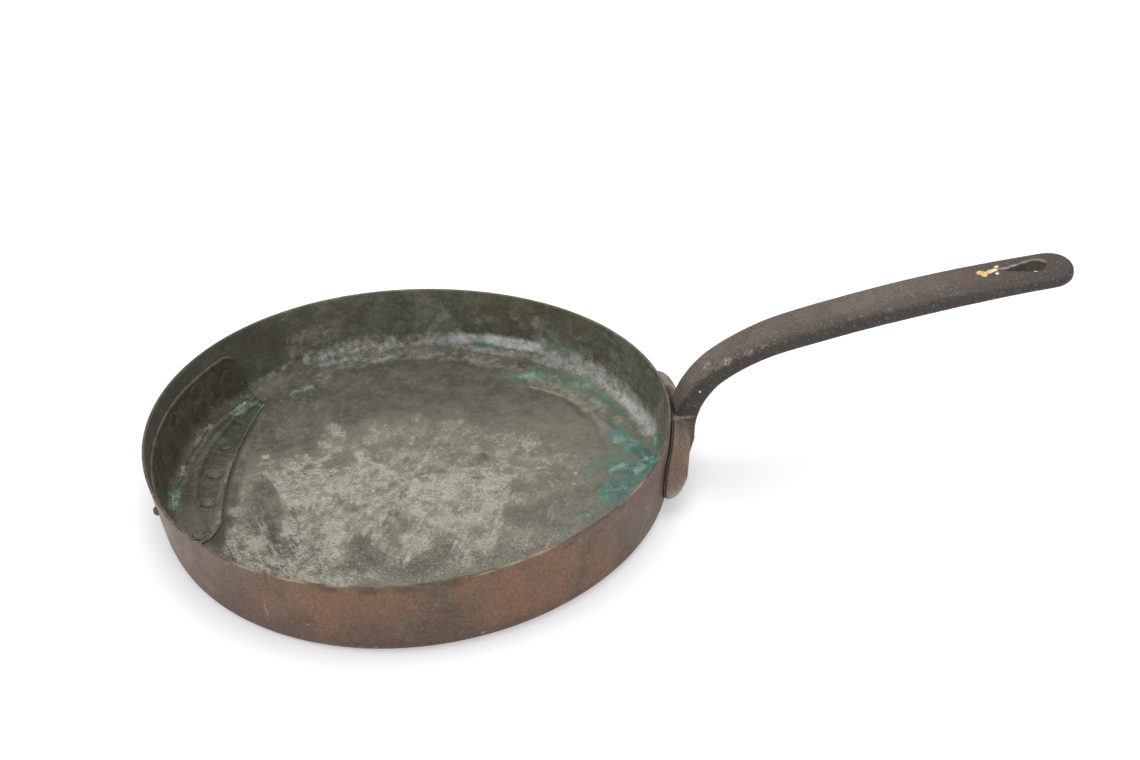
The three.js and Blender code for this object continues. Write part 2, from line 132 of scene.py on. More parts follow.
def withModifiers(piece):
    # Leaves a piece as the plain mesh that its modifiers make of it
    bpy.context.view_layer.update()
    graph = bpy.context.evaluated_depsgraph_get()
    mesh = bpy.data.meshes.new_from_object(piece.evaluated_get(graph))
    piece.modifiers.clear()
    piece.data = mesh


def handOver(piece, slot, *nodes):
    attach(piece, "root")
    if nodes:
        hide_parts(*nodes)


# Camera, light and ground

# Where the camera stands in millimetres, and its tilt, roll and heading in degrees. The lens is in pixels
cameraView = {
    "place": (53.871, -770.391, 562.263), "turn": (56.785, 1.561, -3.364),
    "lensPixels": 1800, "frameWidth": 1140, "sensorWidth": 36, "nearest": 0.01, "farthest": 50,
}
# Place and aim of each lamp in metres, its size in metres and its power in watts
lampSettings = {
    "overheadLamp": {"place": (0.15, 0.35, 1.5), "aim": (0.05, 0, 0), "size": 1.3, "power": 10.5},
    "windowLamp": {"place": (-1.5, -0.2, 1.0), "aim": (0, 0, 0.02), "size": 1.0, "power": 6},
    "frontLamp": {"place": (0.6, -1.7, 1.1), "aim": (0, 0, 0.02), "size": 1.2, "power": 9},
}
worldSettings = {
    "skyColour": (0.97, 0.98, 1.0), "skyStrength": 0.5, "seenStrength": 1.0, "glossStrength": 0.8,
}
groundSettings = {"size": 12, "colour": (0.92, 0.92, 0.94), "seenGlow": 0.3}
white = (1, 1, 1)


def addCamera(view):
    camera = bpy.data.cameras.new("panCamera")
    camera.sensor_width = view["sensorWidth"]
    camera.lens = view["lensPixels"] / view["frameWidth"] * view["sensorWidth"]
    camera.clip_start = view["nearest"]
    camera.clip_end = view["farthest"]
    holder = newObject("panCamera", camera)
    holder.location = [value * mm for value in view["place"]]
    holder.rotation_euler = [math.radians(angle) for angle in view["turn"]]
    bpy.context.scene.camera = holder


def addLamps(settings):
    for name, values in settings.items():
        lamp = bpy.data.lights.new(name, "AREA")
        lamp.shape = "DISK"
        lamp.size = values["size"]
        lamp.energy = values["power"]
        holder = newObject(name, lamp)
        holder.location = values["place"]
        aim = Vector(values["aim"]) - Vector(values["place"])
        holder.rotation_euler = aim.to_track_quat("-Z", "Y").to_euler()


def rays(tree, *kinds):
    # One for rays of any of these kinds
    path = addNode(tree, "ShaderNodeLightPath", output=None)
    total = path[kinds[0]]
    for kind in kinds[1:]:
        total = addNode(tree, "ShaderNodeMath", {0: total, 1: path[kind]}, operation="MAXIMUM")
    return total


def addSky(settings):
    world = bpy.data.worlds.new("paleStudio")
    tree = emptyTree(world)

    def glow(colour, strength):
        return addNode(tree, "ShaderNodeBackground", {"Color": colour, "Strength": strength})

    def mixed(share, first, second):
        return addNode(tree, "ShaderNodeMixShader", {0: share, 1: first, 2: second})

    light = glow(settings["skyColour"], settings["skyStrength"])
    reflected = glow(white, settings["glossStrength"])
    sky = mixed(rays(tree, "Is Glossy Ray", "Is Transmission Ray"), light, reflected)
    sky = mixed(rays(tree, "Is Camera Ray"), sky, glow(white, settings["seenStrength"]))
    addNode(tree, "ShaderNodeOutputWorld", {"Surface": sky})
    bpy.context.scene.world = world


def addGround(settings):
    half = settings["size"] / 2
    corners = [(-half, -half, 0), (half, -half, 0), (half, half, 0), (-half, half, 0)]
    mesh = meshFrom("groundSheet", corners, [(0, 1, 2, 3)])
    material = bpy.data.materials.new("palePaper")
    tree = emptyTree(material)
    seen = rays(tree, "Is Camera Ray", "Is Glossy Ray")
    lift = addNode(tree, "ShaderNodeMath", {0: seen, 1: settings["seenGlow"]}, operation="MULTIPLY")
    # The glow lifts the paper to white for the eye, and leaves the shadow on it
    glow = addNode(tree, "ShaderNodeEmission", {"Color": white, "Strength": lift})
    paper = addNode(tree, "ShaderNodeBsdfDiffuse", {"Color": settings["colour"]})
    both = addNode(tree, "ShaderNodeAddShader", {0: paper, 1: glow})
    addNode(tree, "ShaderNodeOutputMaterial", {"Surface": both})
    mesh.materials.append(material)
    newObject("groundSheet", mesh)


bpy.context.scene.view_settings.view_transform = "Standard"
addCamera(cameraView)
addLamps(lampSettings)
addSky(worldSettings)
addGround(groundSettings)
print("camera, lamps and ground are up")


def paint(red, green, blue):
    # A colour as it looks on screen, from 0 to 255, as the shader wants it
    shares = [value / 255 for value in (red, green, blue)]
    return tuple(((v + 0.055) / 1.055) ** 2.4 if v > 0.04 else v / 12.92 for v in shares)


# A finish is built from a few named steps, so each material below reads as what it paints.
# Its colour is laid on in coats. Where a step takes a colour, it may be named from the finish's own colours
class Finish:
    def __init__(self, name, colours=None):
        self.material = bpy.data.materials.new(name)
        self.tree = emptyTree(self.material)
        self.colours = colours or {}
        self.colour = None
        self.place = self.node("TexCoord", output="Object")
        self.x, self.y, self.z = self.node("SeparateXYZ", {0: self.place}, None)
        facing = self.node("NewGeometry", output="Normal")
        self.upward = self.node("SeparateXYZ", {0: facing}, 2)

    def node(self, kind, inputs=(), output=0, **settings):
        return addNode(self.tree, "ShaderNode" + kind, inputs, output, **settings)

    def maths(self, operation, first, second, clamp=False):
        return self.node("Math", {0: first, 1: second}, operation=operation, use_clamp=clamp)

    def times(self, *values):
        total = values[0]
        for value in values[1:]:
            total = self.maths("MULTIPLY", total, value)
        return total

    def plus(self, first, second, clamp=False):
        return self.maths("ADD", first, second, clamp)

    def minus(self, first, second):
        return self.maths("SUBTRACT", first, second)

    def most(self, first, second):
        return self.maths("MAXIMUM", first, second)

    def level(self, share, first, second):
        # A value between two others
        return self.node("Mix", {0: share, 2: first, 3: second})

    def step(self, value, low, high, lowest=0.0, highest=1.0):
        # Goes smoothly from lowest to highest while the value goes from low to high
        limits = {"Value": value, "From Min": low, "From Max": high, "To Min": lowest, "To Max": highest}
        return self.node("MapRange", limits, interpolation_type="SMOOTHSTEP")

    def along(self, value, low, high, lowest=0.0, highest=1.0):
        # The same for a place or a distance, whose limits are in millimetres
        return self.step(value, low * mm, high * mm, lowest, highest)

    def stretched(self, scale=(1, 1, 1), move=(0, 0, 0)):
        return self.node("Mapping", {"Vector": self.place, "Location": move, "Scale": scale})

    def drawn(self, degrees, stretch):
        # Places for a pattern that is drawn out along a direction on the floor
        turn = (0, 0, math.radians(degrees))
        inputs = {"Vector": self.place, "Rotation": turn, "Scale": (stretch, 1, 1)}
        return self.node("Mapping", inputs, vector_type="TEXTURE")

    def noise(self, size, detail, rough, place=None, warp=0.0):
        # size is that of the pattern's lumps in millimetres
        inputs = {"Vector": place or self.place, "Scale": 1 / (size * mm)}
        inputs.update({"Detail": detail, "Roughness": rough, "Distortion": warp})
        return self.node("TexNoise", inputs, "Fac")

    def attribute(self, name):
        return self.node("Attribute", output="Fac", attribute_name=name)

    def distance(self, point, squash=(1, 1, 1)):
        # How far the surface is from a point that is given in millimetres
        point = [value * mm for value in point]
        away = self.node("VectorMath", {0: self.place, 1: point}, operation="SUBTRACT")
        away = self.node("VectorMath", {0: away, 1: squash}, operation="MULTIPLY")
        return self.node("VectorMath", {0: away}, "Value", operation="LENGTH")

    def near(self, point, inner, outer, squash=(1, 1, 1), wobble=None, wobbleSize=0.0):
        # One within the inner distance of a point, none past the outer one, all in millimetres
        distance = self.distance(point, squash)
        if wobble is not None:
            distance = self.plus(distance, self.times(self.minus(wobble, 0.5), 2 * wobbleSize * mm))
        return self.along(distance, inner, outer, 1.0, 0.0)

    def marked(self, marks, wobble, wobbleSize, squash=(1, 1, 1)):
        # All of some marks, each given by its point and its inner and outer distance
        total = 0.0
        for point, inner, outer in marks:
            total = self.most(total, self.near(point, inner, outer, squash, wobble, wobbleSize))
        return total

    def torn(self, zone, pattern, reach, low, high):
        # A zone whose edge, and whose holes where it is weak, follow a pattern
        frayed = self.plus(zone, self.times(self.minus(pattern, 0.5), reach))
        return self.times(self.step(frayed, low, high), self.step(zone, 0.02, 0.25))

    def blend(self, share, first, second, how="MIX"):
        colours = [self.colours[given] if isinstance(given, str) else given for given in (first, second)]
        inputs = {0: share, 6: colours[0], 7: colours[1]}
        return self.node("Mix", inputs, 2, data_type="RGBA", blend_type=how)

    def cover(self, colour, *shares, how="MIX"):
        # Puts a coat over the colour so far, as strong as its shares multiplied
        self.colour = self.blend(self.times(*shares), self.colour, colour, how)

    def tinted(self, size, share):
        # Small patches that lean to brown or to green. An overlay of 188 grey changes nothing
        lean = self.noise(size, 4, 0.62, place=self.stretched(move=(3.1, 1.7, 0.4)))
        self.cover(self.blend(self.step(lean, 0.36, 0.64), paint(197, 184, 181), paint(180, 191, 189)),
                   share, how="OVERLAY")

    def grained(self, pattern, dark, light, share):
        # A fine grain between two greys
        greys = self.blend(self.step(pattern, 0.3, 0.7), paint(dark, dark, dark), paint(light, light, light))
        self.cover(greys, share, how="OVERLAY")

    def finished(self, metallic, roughness, height, depth, strength):
        # The relief stands out by its height times the depth, in millimetres
        relief = self.node("Bump", {"Strength": strength, "Distance": depth * mm, "Height": height})
        looks = {"Base Color": self.colour, "Metallic": metallic, "Roughness": roughness, "Normal": relief}
        self.node("OutputMaterial", {"Surface": self.node("BsdfPrincipled", looks)})
        return self.material


# The pan

panSizes = {
    "rimRadius": 135.0, "height": 39.5, "wallFlare": 3.3, "wallThickness": 1.5, "floorThickness": 1.7,
    "outerCorner": 6.0, "cove": 8.0, "rimRounding": 0.6,
    "cornerSwell": 1.6, "cornerAngle": math.radians(12), "ovalSwell": 0.9, "baseShift": (2.7, -3.3),
    # hammered unevenness, as layers of height, size and seed, and the heights over which it fades out
    "wallDent": 0.22, "wallLumps": [(1, 26, 1.7)], "dentBottom": 0.5, "dentFull": 8, "dentTop": 6,
    "floorDent": 0.3, "floorLumps": [(0.7, 34, 3.1), (0.3, 13, 7.7)], "floorFade": (3.4, 2.2), "rimFade": 5,
    # the old ring in the floor: a worn step and a groove along it
    "ringMiddle": (-4.1, 7.9), "ringRadius": 109.1, "ringStep": 0.35, "ringRise": (-1.5, 2.0),
    "grooveShare": 1.3, "grooveWidth": 1.6,
    # rows of points along the profile, and how many points each has
    "underRows": 12, "cornerRows": 11, "outsideRows": 20, "rimRows": 5, "wallRows": 28, "coveRows": 13,
    "floorRows": 94, "around": 400,
}
baseRadius = panSizes["rimRadius"] - panSizes["wallFlare"]
wallSlope = math.atan2(panSizes["wallFlare"], panSizes["height"])
wallInset = panSizes["wallThickness"] / math.cos(wallSlope)
coveTurn = math.pi / 2 - wallSlope
coveLength = panSizes["cove"] * coveTurn
coveTop = panSizes["floorThickness"] + panSizes["cove"] * (1 - math.sin(wallSlope))
wallLength = (panSizes["height"] - coveTop) / math.cos(wallSlope)


def trueRadius(height):
    return baseRadius + panSizes["wallFlare"] * clampShare(height / panSizes["height"])


def wallSwell(angle, height):
    # How far the wall is out of round: soft corners, an oval that grows to the rim, and a base to one side
    s = panSizes
    rise = clampShare(height / s["height"])
    corners = s["cornerSwell"] * np.cos(3 * (angle - s["cornerAngle"]))
    oval = s["ovalSwell"] * rise * np.cos(2 * angle)
    shift = s["baseShift"][0] * np.cos(angle) + s["baseShift"][1] * np.sin(angle)
    return corners + oval + (1 - rise) * shift


def wallRadius(angle, height):
    return trueRadius(height) + wallSwell(angle, height)


def turned(radius, angle, height):
    # Points from how far and which way they are from the pan's middle
    return np.stack(np.broadcast_arrays(radius * np.cos(angle), radius * np.sin(angle), height), -1)


def onWall(angle, height, offset=0.0):
    # A place on the wall's outside, or off it
    return turned(wallRadius(angle, height) + offset, angle, height)


def insideSpot(length):
    # Inset from the wall's inside, height and tilt at a distance down the inside from the rim
    cove, floor = panSizes["cove"], panSizes["floorThickness"]
    wallAtCove = trueRadius(coveTop)
    length = np.asarray(length, float)
    high = length < wallLength
    curved = ~high & (length < wallLength + coveLength)
    turn = np.where(high, 0, np.where(curved, (length - wallLength) / cove, coveTurn))
    coveHeight = floor + cove * (1 - np.sin(wallSlope + turn))
    wallHeight = panSizes["height"] - length * math.cos(wallSlope)
    height = np.where(high, wallHeight, np.where(curved, coveHeight, floor))
    centreInset = cove * math.cos(wallSlope)
    coveInset = centreInset - cove * np.cos(wallSlope + turn) + trueRadius(coveHeight) - wallAtCove
    floorInset = centreInset + length - wallLength - coveLength + baseRadius - wallAtCove
    inset = np.where(high, 0, np.where(curved, coveInset, floorInset))
    return inset, height, wallSlope + turn


def pastRing(x, y):
    # How far a floor point lies outside the old ring in the floor, in millimetres
    middle = panSizes["ringMiddle"]
    return np.hypot(x - middle[0], y - middle[1]) - panSizes["ringRadius"]


def insideDent(points):
    # Small lift of the inside surface: soft dents, and the worn step along the ring
    s = panSizes
    away = pastRing(points[..., 0], points[..., 1])
    step = between(away, *s["ringRise"]) - s["grooveShare"] * bell(away, s["grooveWidth"])
    onFloor = between(points[..., 2], *s["floorFade"])
    return s["floorDent"] * lumps(points, s["floorLumps"]) + s["ringStep"] * step * onFloor


def overInside(angle, length, lift):
    # Points above the inside surface, as rows of x, y, z in millimetres
    inset, height, tilt = insideSpot(length)
    radius = wallRadius(angle, height) - wallInset - inset
    up = lift + insideDent(turned(radius, angle, height))
    return turned(radius - up * np.cos(tilt), angle, height + up * np.sin(tilt))


def floorEdge(angle):
    # Radius where the floor meets the cove
    start = wallLength + coveLength
    return wallRadius(angle, panSizes["floorThickness"]) - wallInset - float(insideSpot(start)[0])


def unrolled(angle, length):
    # Places on the inside as if cove and wall lay flat round the floor
    reach = floorEdge(angle) + wallLength + coveLength - length
    return turned(reach, angle, 0.0)[..., :2]


def inside(*spots):
    # Unrolled places from pairs of angle in degrees and height on the inside
    path = []
    for degrees, height in spots:
        rise = float(clampShare((height - panSizes["floorThickness"]) / panSizes["cove"]))
        length = wallLength + panSizes["cove"] * (math.asin(1 - rise) - wallSlope)
        if height > coveTop:
            length = (panSizes["height"] - height) / math.cos(wallSlope)
        path.append(tuple(unrolled(np.array(math.radians(degrees)), np.array(length))))
    return path


def pathDistance(places, path):
    # How far each flat place is from a path of straight pieces
    nearest = np.full(len(places), 1e6)
    for start, end in zip(path, path[1:] or path):
        start, step = np.array(start), np.array(end) - np.array(start)
        along = clampShare((places - start) @ step / max(step @ step, 1e-9))
        nearest = np.minimum(nearest, np.linalg.norm(places - start - along[:, None] * step, axis=1))
    return nearest


def zoneShare(places, strokes):
    # How strongly each place lies in a zone. A stroke is a path, its core and fade in millimetres,
    # and a strength
    share = np.zeros(len(places))
    for path, core, fade, strength in strokes:
        share = np.maximum(share, strength * between(pathDistance(places, path), core + fade, core))
    return share


def addZones(mesh, places, zones):
    for name, strokes in zones.items():
        addValues(mesh, name, zoneShare(places, strokes))


# Where the inside is worn, stained or green, with a painted highlight along the cove and painted shadow
# lines along the old ring. Floor paths are x and y, wall paths come from angle and height
insideZones = {
    "bright": [
        ([(-60, 10), (-53, -12), (-46, -30)], 10, 8, 0.86),
        ([(-36, -4), (-15, -10), (4, -18)], 13, 12, 0.9), ([(-28, -28), (-18, -38)], 9, 8, 0.88),
        ([(10, -12), (30, -12), (38, -5)], 11, 8, 0.8), ([(10, -30), (9, -46), (4, -56)], 5, 8, 0.78),
        ([(24, -30), (28, -46), (26, -70)], 4, 7, 0.72), ([(43, -18), (43, -38), (37, -64)], 3, 6, 0.75),
        ([(30, -20), (35, -40)], 8, 8, 0.78), ([(15, -30), (20, -50)], 4, 6, 0.6),
        ([(-48, 28), (-47, 40), (-44, 51)], 2.5, 5, 0.7), ([(-40, 46), (-38, 38), (-41, 30)], 1.5, 4, 0.58),
        ([(-64, 22), (-56, 25), (-48, 24)], 3, 5, 0.64), ([(-27, 25), (-25, 18), (-22, 12)], 2, 4, 0.76),
        ([(-35, 10), (-28, 8), (-20, 9)], 5, 5, 0.66), ([(48, 8), (49, -8), (47, -24)], 2.5, 3, 0.68),
        ([(-77, 20), (-83, 13), (-86, 0)], 2, 5, 0.48), ([(-88, 3), (-88, -10)], 1, 3, 0.5),
        ([(-62, -34), (-57, -45)], 6, 6, 1.0), ([(-77, 12), (-72, 4), (-66, -9)], 1, 2, 0.85),
        ([(-90, -22), (-86, -32)], 3, 5, 0.52), ([(-88, -40), (-89, -50)], 5, 6, 0.75),
        ([(-82, -46), (-77, -38)], 4, 6, 0.66), ([(-80, -58), (-70, -66), (-58, -72)], 4, 6, 0.85),
        ([(-62, -56), (-52, -62), (-45, -68)], 5, 7, 0.85),
        ([(-56, -74), (-42, -78), (-28, -81)], 4, 5, 0.85),
        ([(-42, -40), (-36, -50), (-38, -60)], 6, 7, 0.8), ([(-61, -42), (-52, -50)], 6, 6, 0.92),
        ([(-75, -50), (-66, -60)], 3, 7, 0.6), ([(-24, -76), (-6, -72), (14, -80)], 1, 6, 0.4),
        ([(-22, -74), (-18, -80)], 2, 4, 0.55), ([(-15, -55), (-9, -62), (-8, -69)], 2, 5, 0.7),
        ([(-3, -50), (0, -60), (-2, -70)], 1.2, 5, 0.6), ([(56, 24), (62, 4)], 8, 14, 0.5),
        ([(54, -30), (56, -22)], 2, 5, 0.4), ([(72, -30), (60, -50)], 9, 14, 0.4),
        ([(10, 42), (22, 40), (32, 34)], 8, 12, 0.34), ([(-14, 46), (-6, 40)], 7, 10, 0.38),
        ([(0, 22), (20, 25), (45, 26)], 8, 10, 0.4), ([(-8, 20), (8, 12), (26, 12)], 7, 10, 0.5),
        ([(3, 57), (8, 52)], 3, 5, 0.46), ([(-30, 34), (-22, 38)], 3, 6, 0.44), ([(27, 50)], 1.4, 3, 0.6),
        ([(-79, 27)], 1.6, 1.6, 0.85), ([(-80, 62), (-83, 52)], 2, 5, 0.44), ([(33, 24)], 1.2, 2, 0.62),
        ([(50, -58), (60, -62), (70, -57)], 3, 6, 0.42), ([(80, 10), (84, -8)], 8, 14, 0.3),
    ],
    "gloom": [
        ([(-60, 104), (-20, 108), (46, 100)], 22, 46, 1.0),
        ([(-84, 62), (-74, 46), (-64, 46)], 9, 18, 0.85),
        ([(-76, -2), (-75, -16), (-73, -24)], 1.5, 8, 0.78), ([(-70, -36), (-66, -46)], 1, 7, 0.85),
        ([(-64, -54), (-60, -60)], 1, 5, 0.8), ([(-80, -30), (-76, -40)], 1, 4, 0.5),
        ([(-94, -28), (-97, -46), (-90, -62)], 2, 6, 1.0),
        ([(-92, 22), (-93, 5), (-93, -14)], 1.6, 3, 0.85),
        ([(-26, -48), (-28, -62), (-22, -70)], 4, 8, 0.7), ([(-15, -62), (-6, -76), (10, -74)], 3, 6, 0.6),
        ([(10, -62), (15, -70)], 2, 5, 0.5), ([(20, -62), (22, -72)], 2, 4, 0.6), ([(-14, -42)], 4, 4, 0.9),
        ([(-9, -30)], 2.2, 3, 0.8), ([(-41, 5), (-32, -2)], 2.2, 4, 0.8), ([(-54, 15)], 2.2, 3, 0.95),
        ([(-59, -25)], 2.2, 3, 0.8), ([(-30, -24)], 2.2, 3, 0.8), ([(-37, -18)], 1.6, 3, 0.5),
        ([(7, -3)], 1.8, 3, 0.7), ([(38, 15)], 1.8, 3, 0.75), ([(-44, -46)], 1.8, 3, 0.85),
        ([(-53, -52), (-47, -58)], 1.2, 5, 0.7), ([(-53, -66)], 1, 4, 0.7), ([(-45, -74)], 1.8, 3, 0.7),
        ([(-37, -76), (-32, -76)], 2.5, 3, 0.8), ([(-61, -58), (-68, -56)], 1, 5, 0.8),
        ([(-60, -33)], 1.2, 2, 0.8), ([(-36, 62), (-28, 66)], 5, 10, 1.0),
        ([(60, -40), (80, -34)], 6, 14, 0.4), ([(-70, 15)], 1.6, 2, 0.8),
        ([(-72, 3), (-69, -2)], 0.6, 1, 1.0), ([(25, 43)], 0.6, 1, 1.0), ([(-18, -1)], 0.6, 1.4, 1.0),
        ([(100, -16), (98, -19)], 1.2, 2, 0.9), ([(105, -11)], 0.8, 1.4, 0.8), ([(86, -19)], 0.6, 1, 1.0),
        # The thin lines along the old ring, from (58, 81) to (94, 48) and from (-87, -47) to (-66, -74), are
        # painted shadow
        ([(35, -4)], 0.5, 1, 0.9), ([(58, 81), (72, 75), (84, 66), (90, 58), (94, 48)], 0.8, 2.6, 0.8),
        ([(-87, -47), (-83, -57), (-75, -68), (-66, -74)], 0.4, 1.2, 0.9), (inside((65, 22)), 2, 7, 0.6),
        (inside((90, 20), (98, 18), (107, 18)), 1, 5, 0.4), (inside((108, 30), (118, 33)), 3, 7, 0.5),
        (inside((20, 12), (14, 20)), 3, 8, 0.5), (inside((128, 18), (134, 28)), 4, 8, 0.7),
        (inside((40, 20), (30, 16)), 3, 6, 0.5), (inside((150, 34), (175, 35), (190, 30)), 3, 7, 0.6),
    ],
    "teal": [
        ([(107, 43), (110, 35), (113.5, 27)], 1.0, 2.5, 0.95),
        ([(109.5, 20), (113, 25), (117, 22), (118.5, 16)], 1.8, 3, 0.85), ([(114, 15)], 3, 5, 0.5),
        ([(121.5, 12), (126, 8), (127, 2)], 3, 5, 1.0), ([(131, 19), (131.5, 8)], 1.8, 3, 0.75),
        ([(108, -2), (113, -3), (118, -7), (121, -4), (124, 0)], 3, 6, 0.95),
        ([(107, -16), (112, -16), (107, -27), (103, -24)], 2.6, 6, 0.9),
        ([(107, 65), (111, 57), (115, 52), (118, 46)], 1.2, 3, 0.62),
        ([(90.5, -42), (88, -44)], 1.0, 2.5, 0.7), ([(78.5, -52)], 0.9, 2.5, 0.6),
        ([(98, -34), (94, -38)], 1.0, 3, 0.45), ([(96, 2), (95, -4)], 2, 5, 0.36),
        (inside((74, 6.8), (69, 6.8)), 0.7, 1.5, 0.9), ([(112, 26), (120, 16), (125, 6)], 3, 5, 0.66),
        ([(108, 8), (116, -6)], 3, 6, 0.5), ([(104, -22), (114, -12)], 4, 6, 0.62),
        ([(100, -30), (103, -20)], 2, 4, 0.5), ([(112, 36), (116, 30)], 1, 4, 0.5),
        (inside((47, 12), (50, 13)), 0.8, 2, 0.5),
    ],
    "mint": [
        ([(110, 22), (113, 25)], 0.9, 2, 0.65), ([(116, 24)], 0.8, 2, 0.55),
        ([(108, -3), (112, 0)], 1.3, 2.5, 0.72), ([(119, -5), (122, -2)], 1.5, 2, 0.95),
        ([(123, 4), (128, 6), (130, 9)], 0.6, 1.5, 0.75), ([(131, 16), (132, 20)], 0.8, 2, 0.65),
        ([(63, 92), (71, 94)], 0.8, 5, 0.62), ([(89, 83), (94, 79), (98, 77)], 0.6, 5, 0.5),
        ([(66, 89)], 0.8, 3, 0.5), ([(112, 24), (118, 20)], 1.5, 5, 0.6),
        ([(78, 90), (84, 86)], 0.5, 6, 0.4), ([(103, 62), (108, 56)], 0.5, 5, 0.36),
        (inside((115.5, 3.1), (110.7, 3.0), (104, 3.3)), 0.3, 3, 0.5),
        ([(-24, 117), (-17.5, 118.5), (-7, 121.3)], 0.3, 3, 0.46), ([(-67, 89), (-57, 96)], 0.8, 3, 0.46),
        ([(90.4, -41.5)], 0.5, 1, 0.7), (inside((24, 4.6), (21, 3.4)), 0.5, 1.5, 0.6),
    ],
    "green": [
        ([(60, 92), (70, 97), (76, 90)], 3, 7, 0.72), ([(86, 86), (94, 81), (100, 77)], 3, 7, 0.85),
        ([(104, 68), (108, 62)], 2, 5, 0.5), (inside((53, 12), (48, 13)), 2, 5, 0.55),
        (inside((27, 18)), 3, 8, 0.36), (inside((18, 16)), 3, 8, 0.36),
        ([(100, 2), (98, -12)], 4, 8, 0.3), (inside((131, 14), (137, 8)), 2, 7, 0.36),
        (inside((88, 12)), 2, 4, 0.36), ([(118, -20), (112, -30)], 2, 6, 0.4),
    ],
    # A painted highlight: the white band along the cove
    "white": [
        (inside((88, 9.0), (80, 9.4)), 0.4, 6, 0.5),
        (inside((80, 9.6), (71, 10.6), (66, 10.4), (58, 10.8), (50, 10.6)), 0.8, 5.5, 0.72),
        (inside((70, 10.4), (62, 10.4), (56, 11.4)), 1.4, 4, 0.98),
        (inside((56, 11), (46, 10.4), (38, 9.4), (30, 8), (22, 6.4), (12, 6)), 1.6, 9, 0.6),
        (inside((52, 11.6), (45, 11), (40, 10.4)), 0.5, 3, 0.62),
        (inside((34, 8.8), (28, 7.2), (24, 6.2)), 0.4, 3, 0.6),
        (inside((18, 5), (13, 4.4)), 0.3, 2.4, 0.55),
        (inside((84, 9.5), (92, 8.6), (100, 8.6), (110, 9), (118, 9)), 0.6, 7.5, 0.33),
        (inside((125, 8), (134, 7)), 0.5, 5, 0.24), (inside((22.5, 5.2)), 0.4, 1, 0.8),
        (inside((80, 6), (60, 5), (45, 4.5)), 0.8, 2.5, 0.36),
    ],
    "pale": [
        ([(-40, 114), (0, 121), (30, 115), (52, 104)], 2, 6, 0.42),
        ([(58, 99), (78, 85), (95, 68), (102, 52)], 3, 8, 0.46), ([(105, 46), (107, 30)], 2, 6, 0.3),
        ([(66, 81), (73, 77), (80, 73), (86.5, 67.5), (92, 61)], 0.3, 1.5, 0.72),
        ([(92, 61), (96, 53), (99.5, 47)], 0.2, 1.3, 0.55), (inside((112, 20), (120, 18)), 3, 9, 0.42),
        (inside((73, 20)), 2, 8, 0.4), (inside((44, 4.5), (30, 4.4), (18, 3.6), (8, 4)), 2.4, 7, 0.5),
        ([(112, 44), (116, 36)], 2, 6, 0.4), ([(96, -30), (86, -44)], 2, 7, 0.36),
        (inside((85.4, 12.5), (83.5, 20), (81.4, 24)), 0.9, 3, 0.55),
        (inside((81.4, 24), (79, 18), (77, 13)), 0.9, 3, 0.5), (inside((57, 27)), 2, 4, 0.6),
        (inside((63, 29)), 1.6, 5, 0.45), (inside((122, 11), (108, 10), (95, 9)), 2.4, 6, 0.42),
        ([(81, -59), (75, -63.5), (68, -68)], 0.5, 1.6, 0.6), (inside((8, 16), (8, 30)), 5, 9, 0.4),
        (inside((42, 16), (36, 14)), 2, 6, 0.4),
        ([(72.4, -8.6), (73.7, -15), (75.8, -9.6)], 0.15, 0.7, 0.8), ([(-62, 92), (-50, 104)], 2, 6, 0.35),
    ],
    "olive": [
        (inside((79, 37), (70, 32), (56, 36), (39, 38)), 4, 7, 0.8),
        (inside((48, 30), (40, 27)), 4, 8, 0.55), (inside((20, 30), (22, 20)), 4, 9, 0.55),
        (inside((100, 35), (126, 34)), 3, 8, 0.5), ([(-54, 15)], 1.5, 3, 0.8),
        ([(-59, -25)], 1.5, 3, 0.8), ([(-31, -23)], 2, 4, 0.75), ([(7, -3)], 1.5, 3, 0.7),
        ([(-25, -53)], 3, 5, 0.6), ([(15, -66)], 3, 5, 0.6), ([(96, -8), (98, 6)], 4, 8, 0.4),
        ([(-38, -18)], 1.5, 3, 0.6),
    ],
}


def panRows():
    # The pan's profile from the middle of the underside out, up, over the rim and back in over the floor.
    # Each row has its radius and height, the side it is on, and on the inside its distance down from the rim
    s = panSizes
    corner, rounding = s["outerCorner"], s["rimRounding"]
    rows = [(radius, 0.0, "under", None) for radius in np.linspace(0, baseRadius - corner, s["underRows"])]
    for turn in np.linspace(0, math.pi / 2, s["cornerRows"])[1:]:
        rows.append((baseRadius - corner * (1 - math.sin(turn)), corner * (1 - math.cos(turn)), "out", None))
    for height in np.linspace(corner, s["height"] - rounding, s["outsideRows"])[1:]:
        rows.append((float(trueRadius(height)), height, "out", None))
    turns = np.linspace(0, math.pi / 2, s["rimRows"])
    for turn in turns[1:]:
        radius = s["rimRadius"] - rounding * (1 - math.cos(turn))
        rows.append((radius, s["height"] - rounding * (1 - math.sin(turn)), "rim", None))
    for turn in turns[::-1]:
        radius = s["rimRadius"] - wallInset + rounding * (1 - math.cos(turn))
        rows.append((radius, s["height"] - rounding * (1 - math.sin(turn)), "rim", 0.0))
    lengths = list(np.linspace(rounding, wallLength, s["wallRows"])[1:])
    lengths += list(np.linspace(wallLength, wallLength + coveLength, s["coveRows"])[1:])
    for length in lengths:
        inset, height, _ = insideSpot(length)
        rows.append((float(trueRadius(height) - wallInset - inset), float(height), "in", length))
    for radius in rows[-1][0] * (1 - np.linspace(0, 1, s["floorRows"])[1:]):
        rows.append((float(radius), s["floorThickness"], "in", None))
    return rows


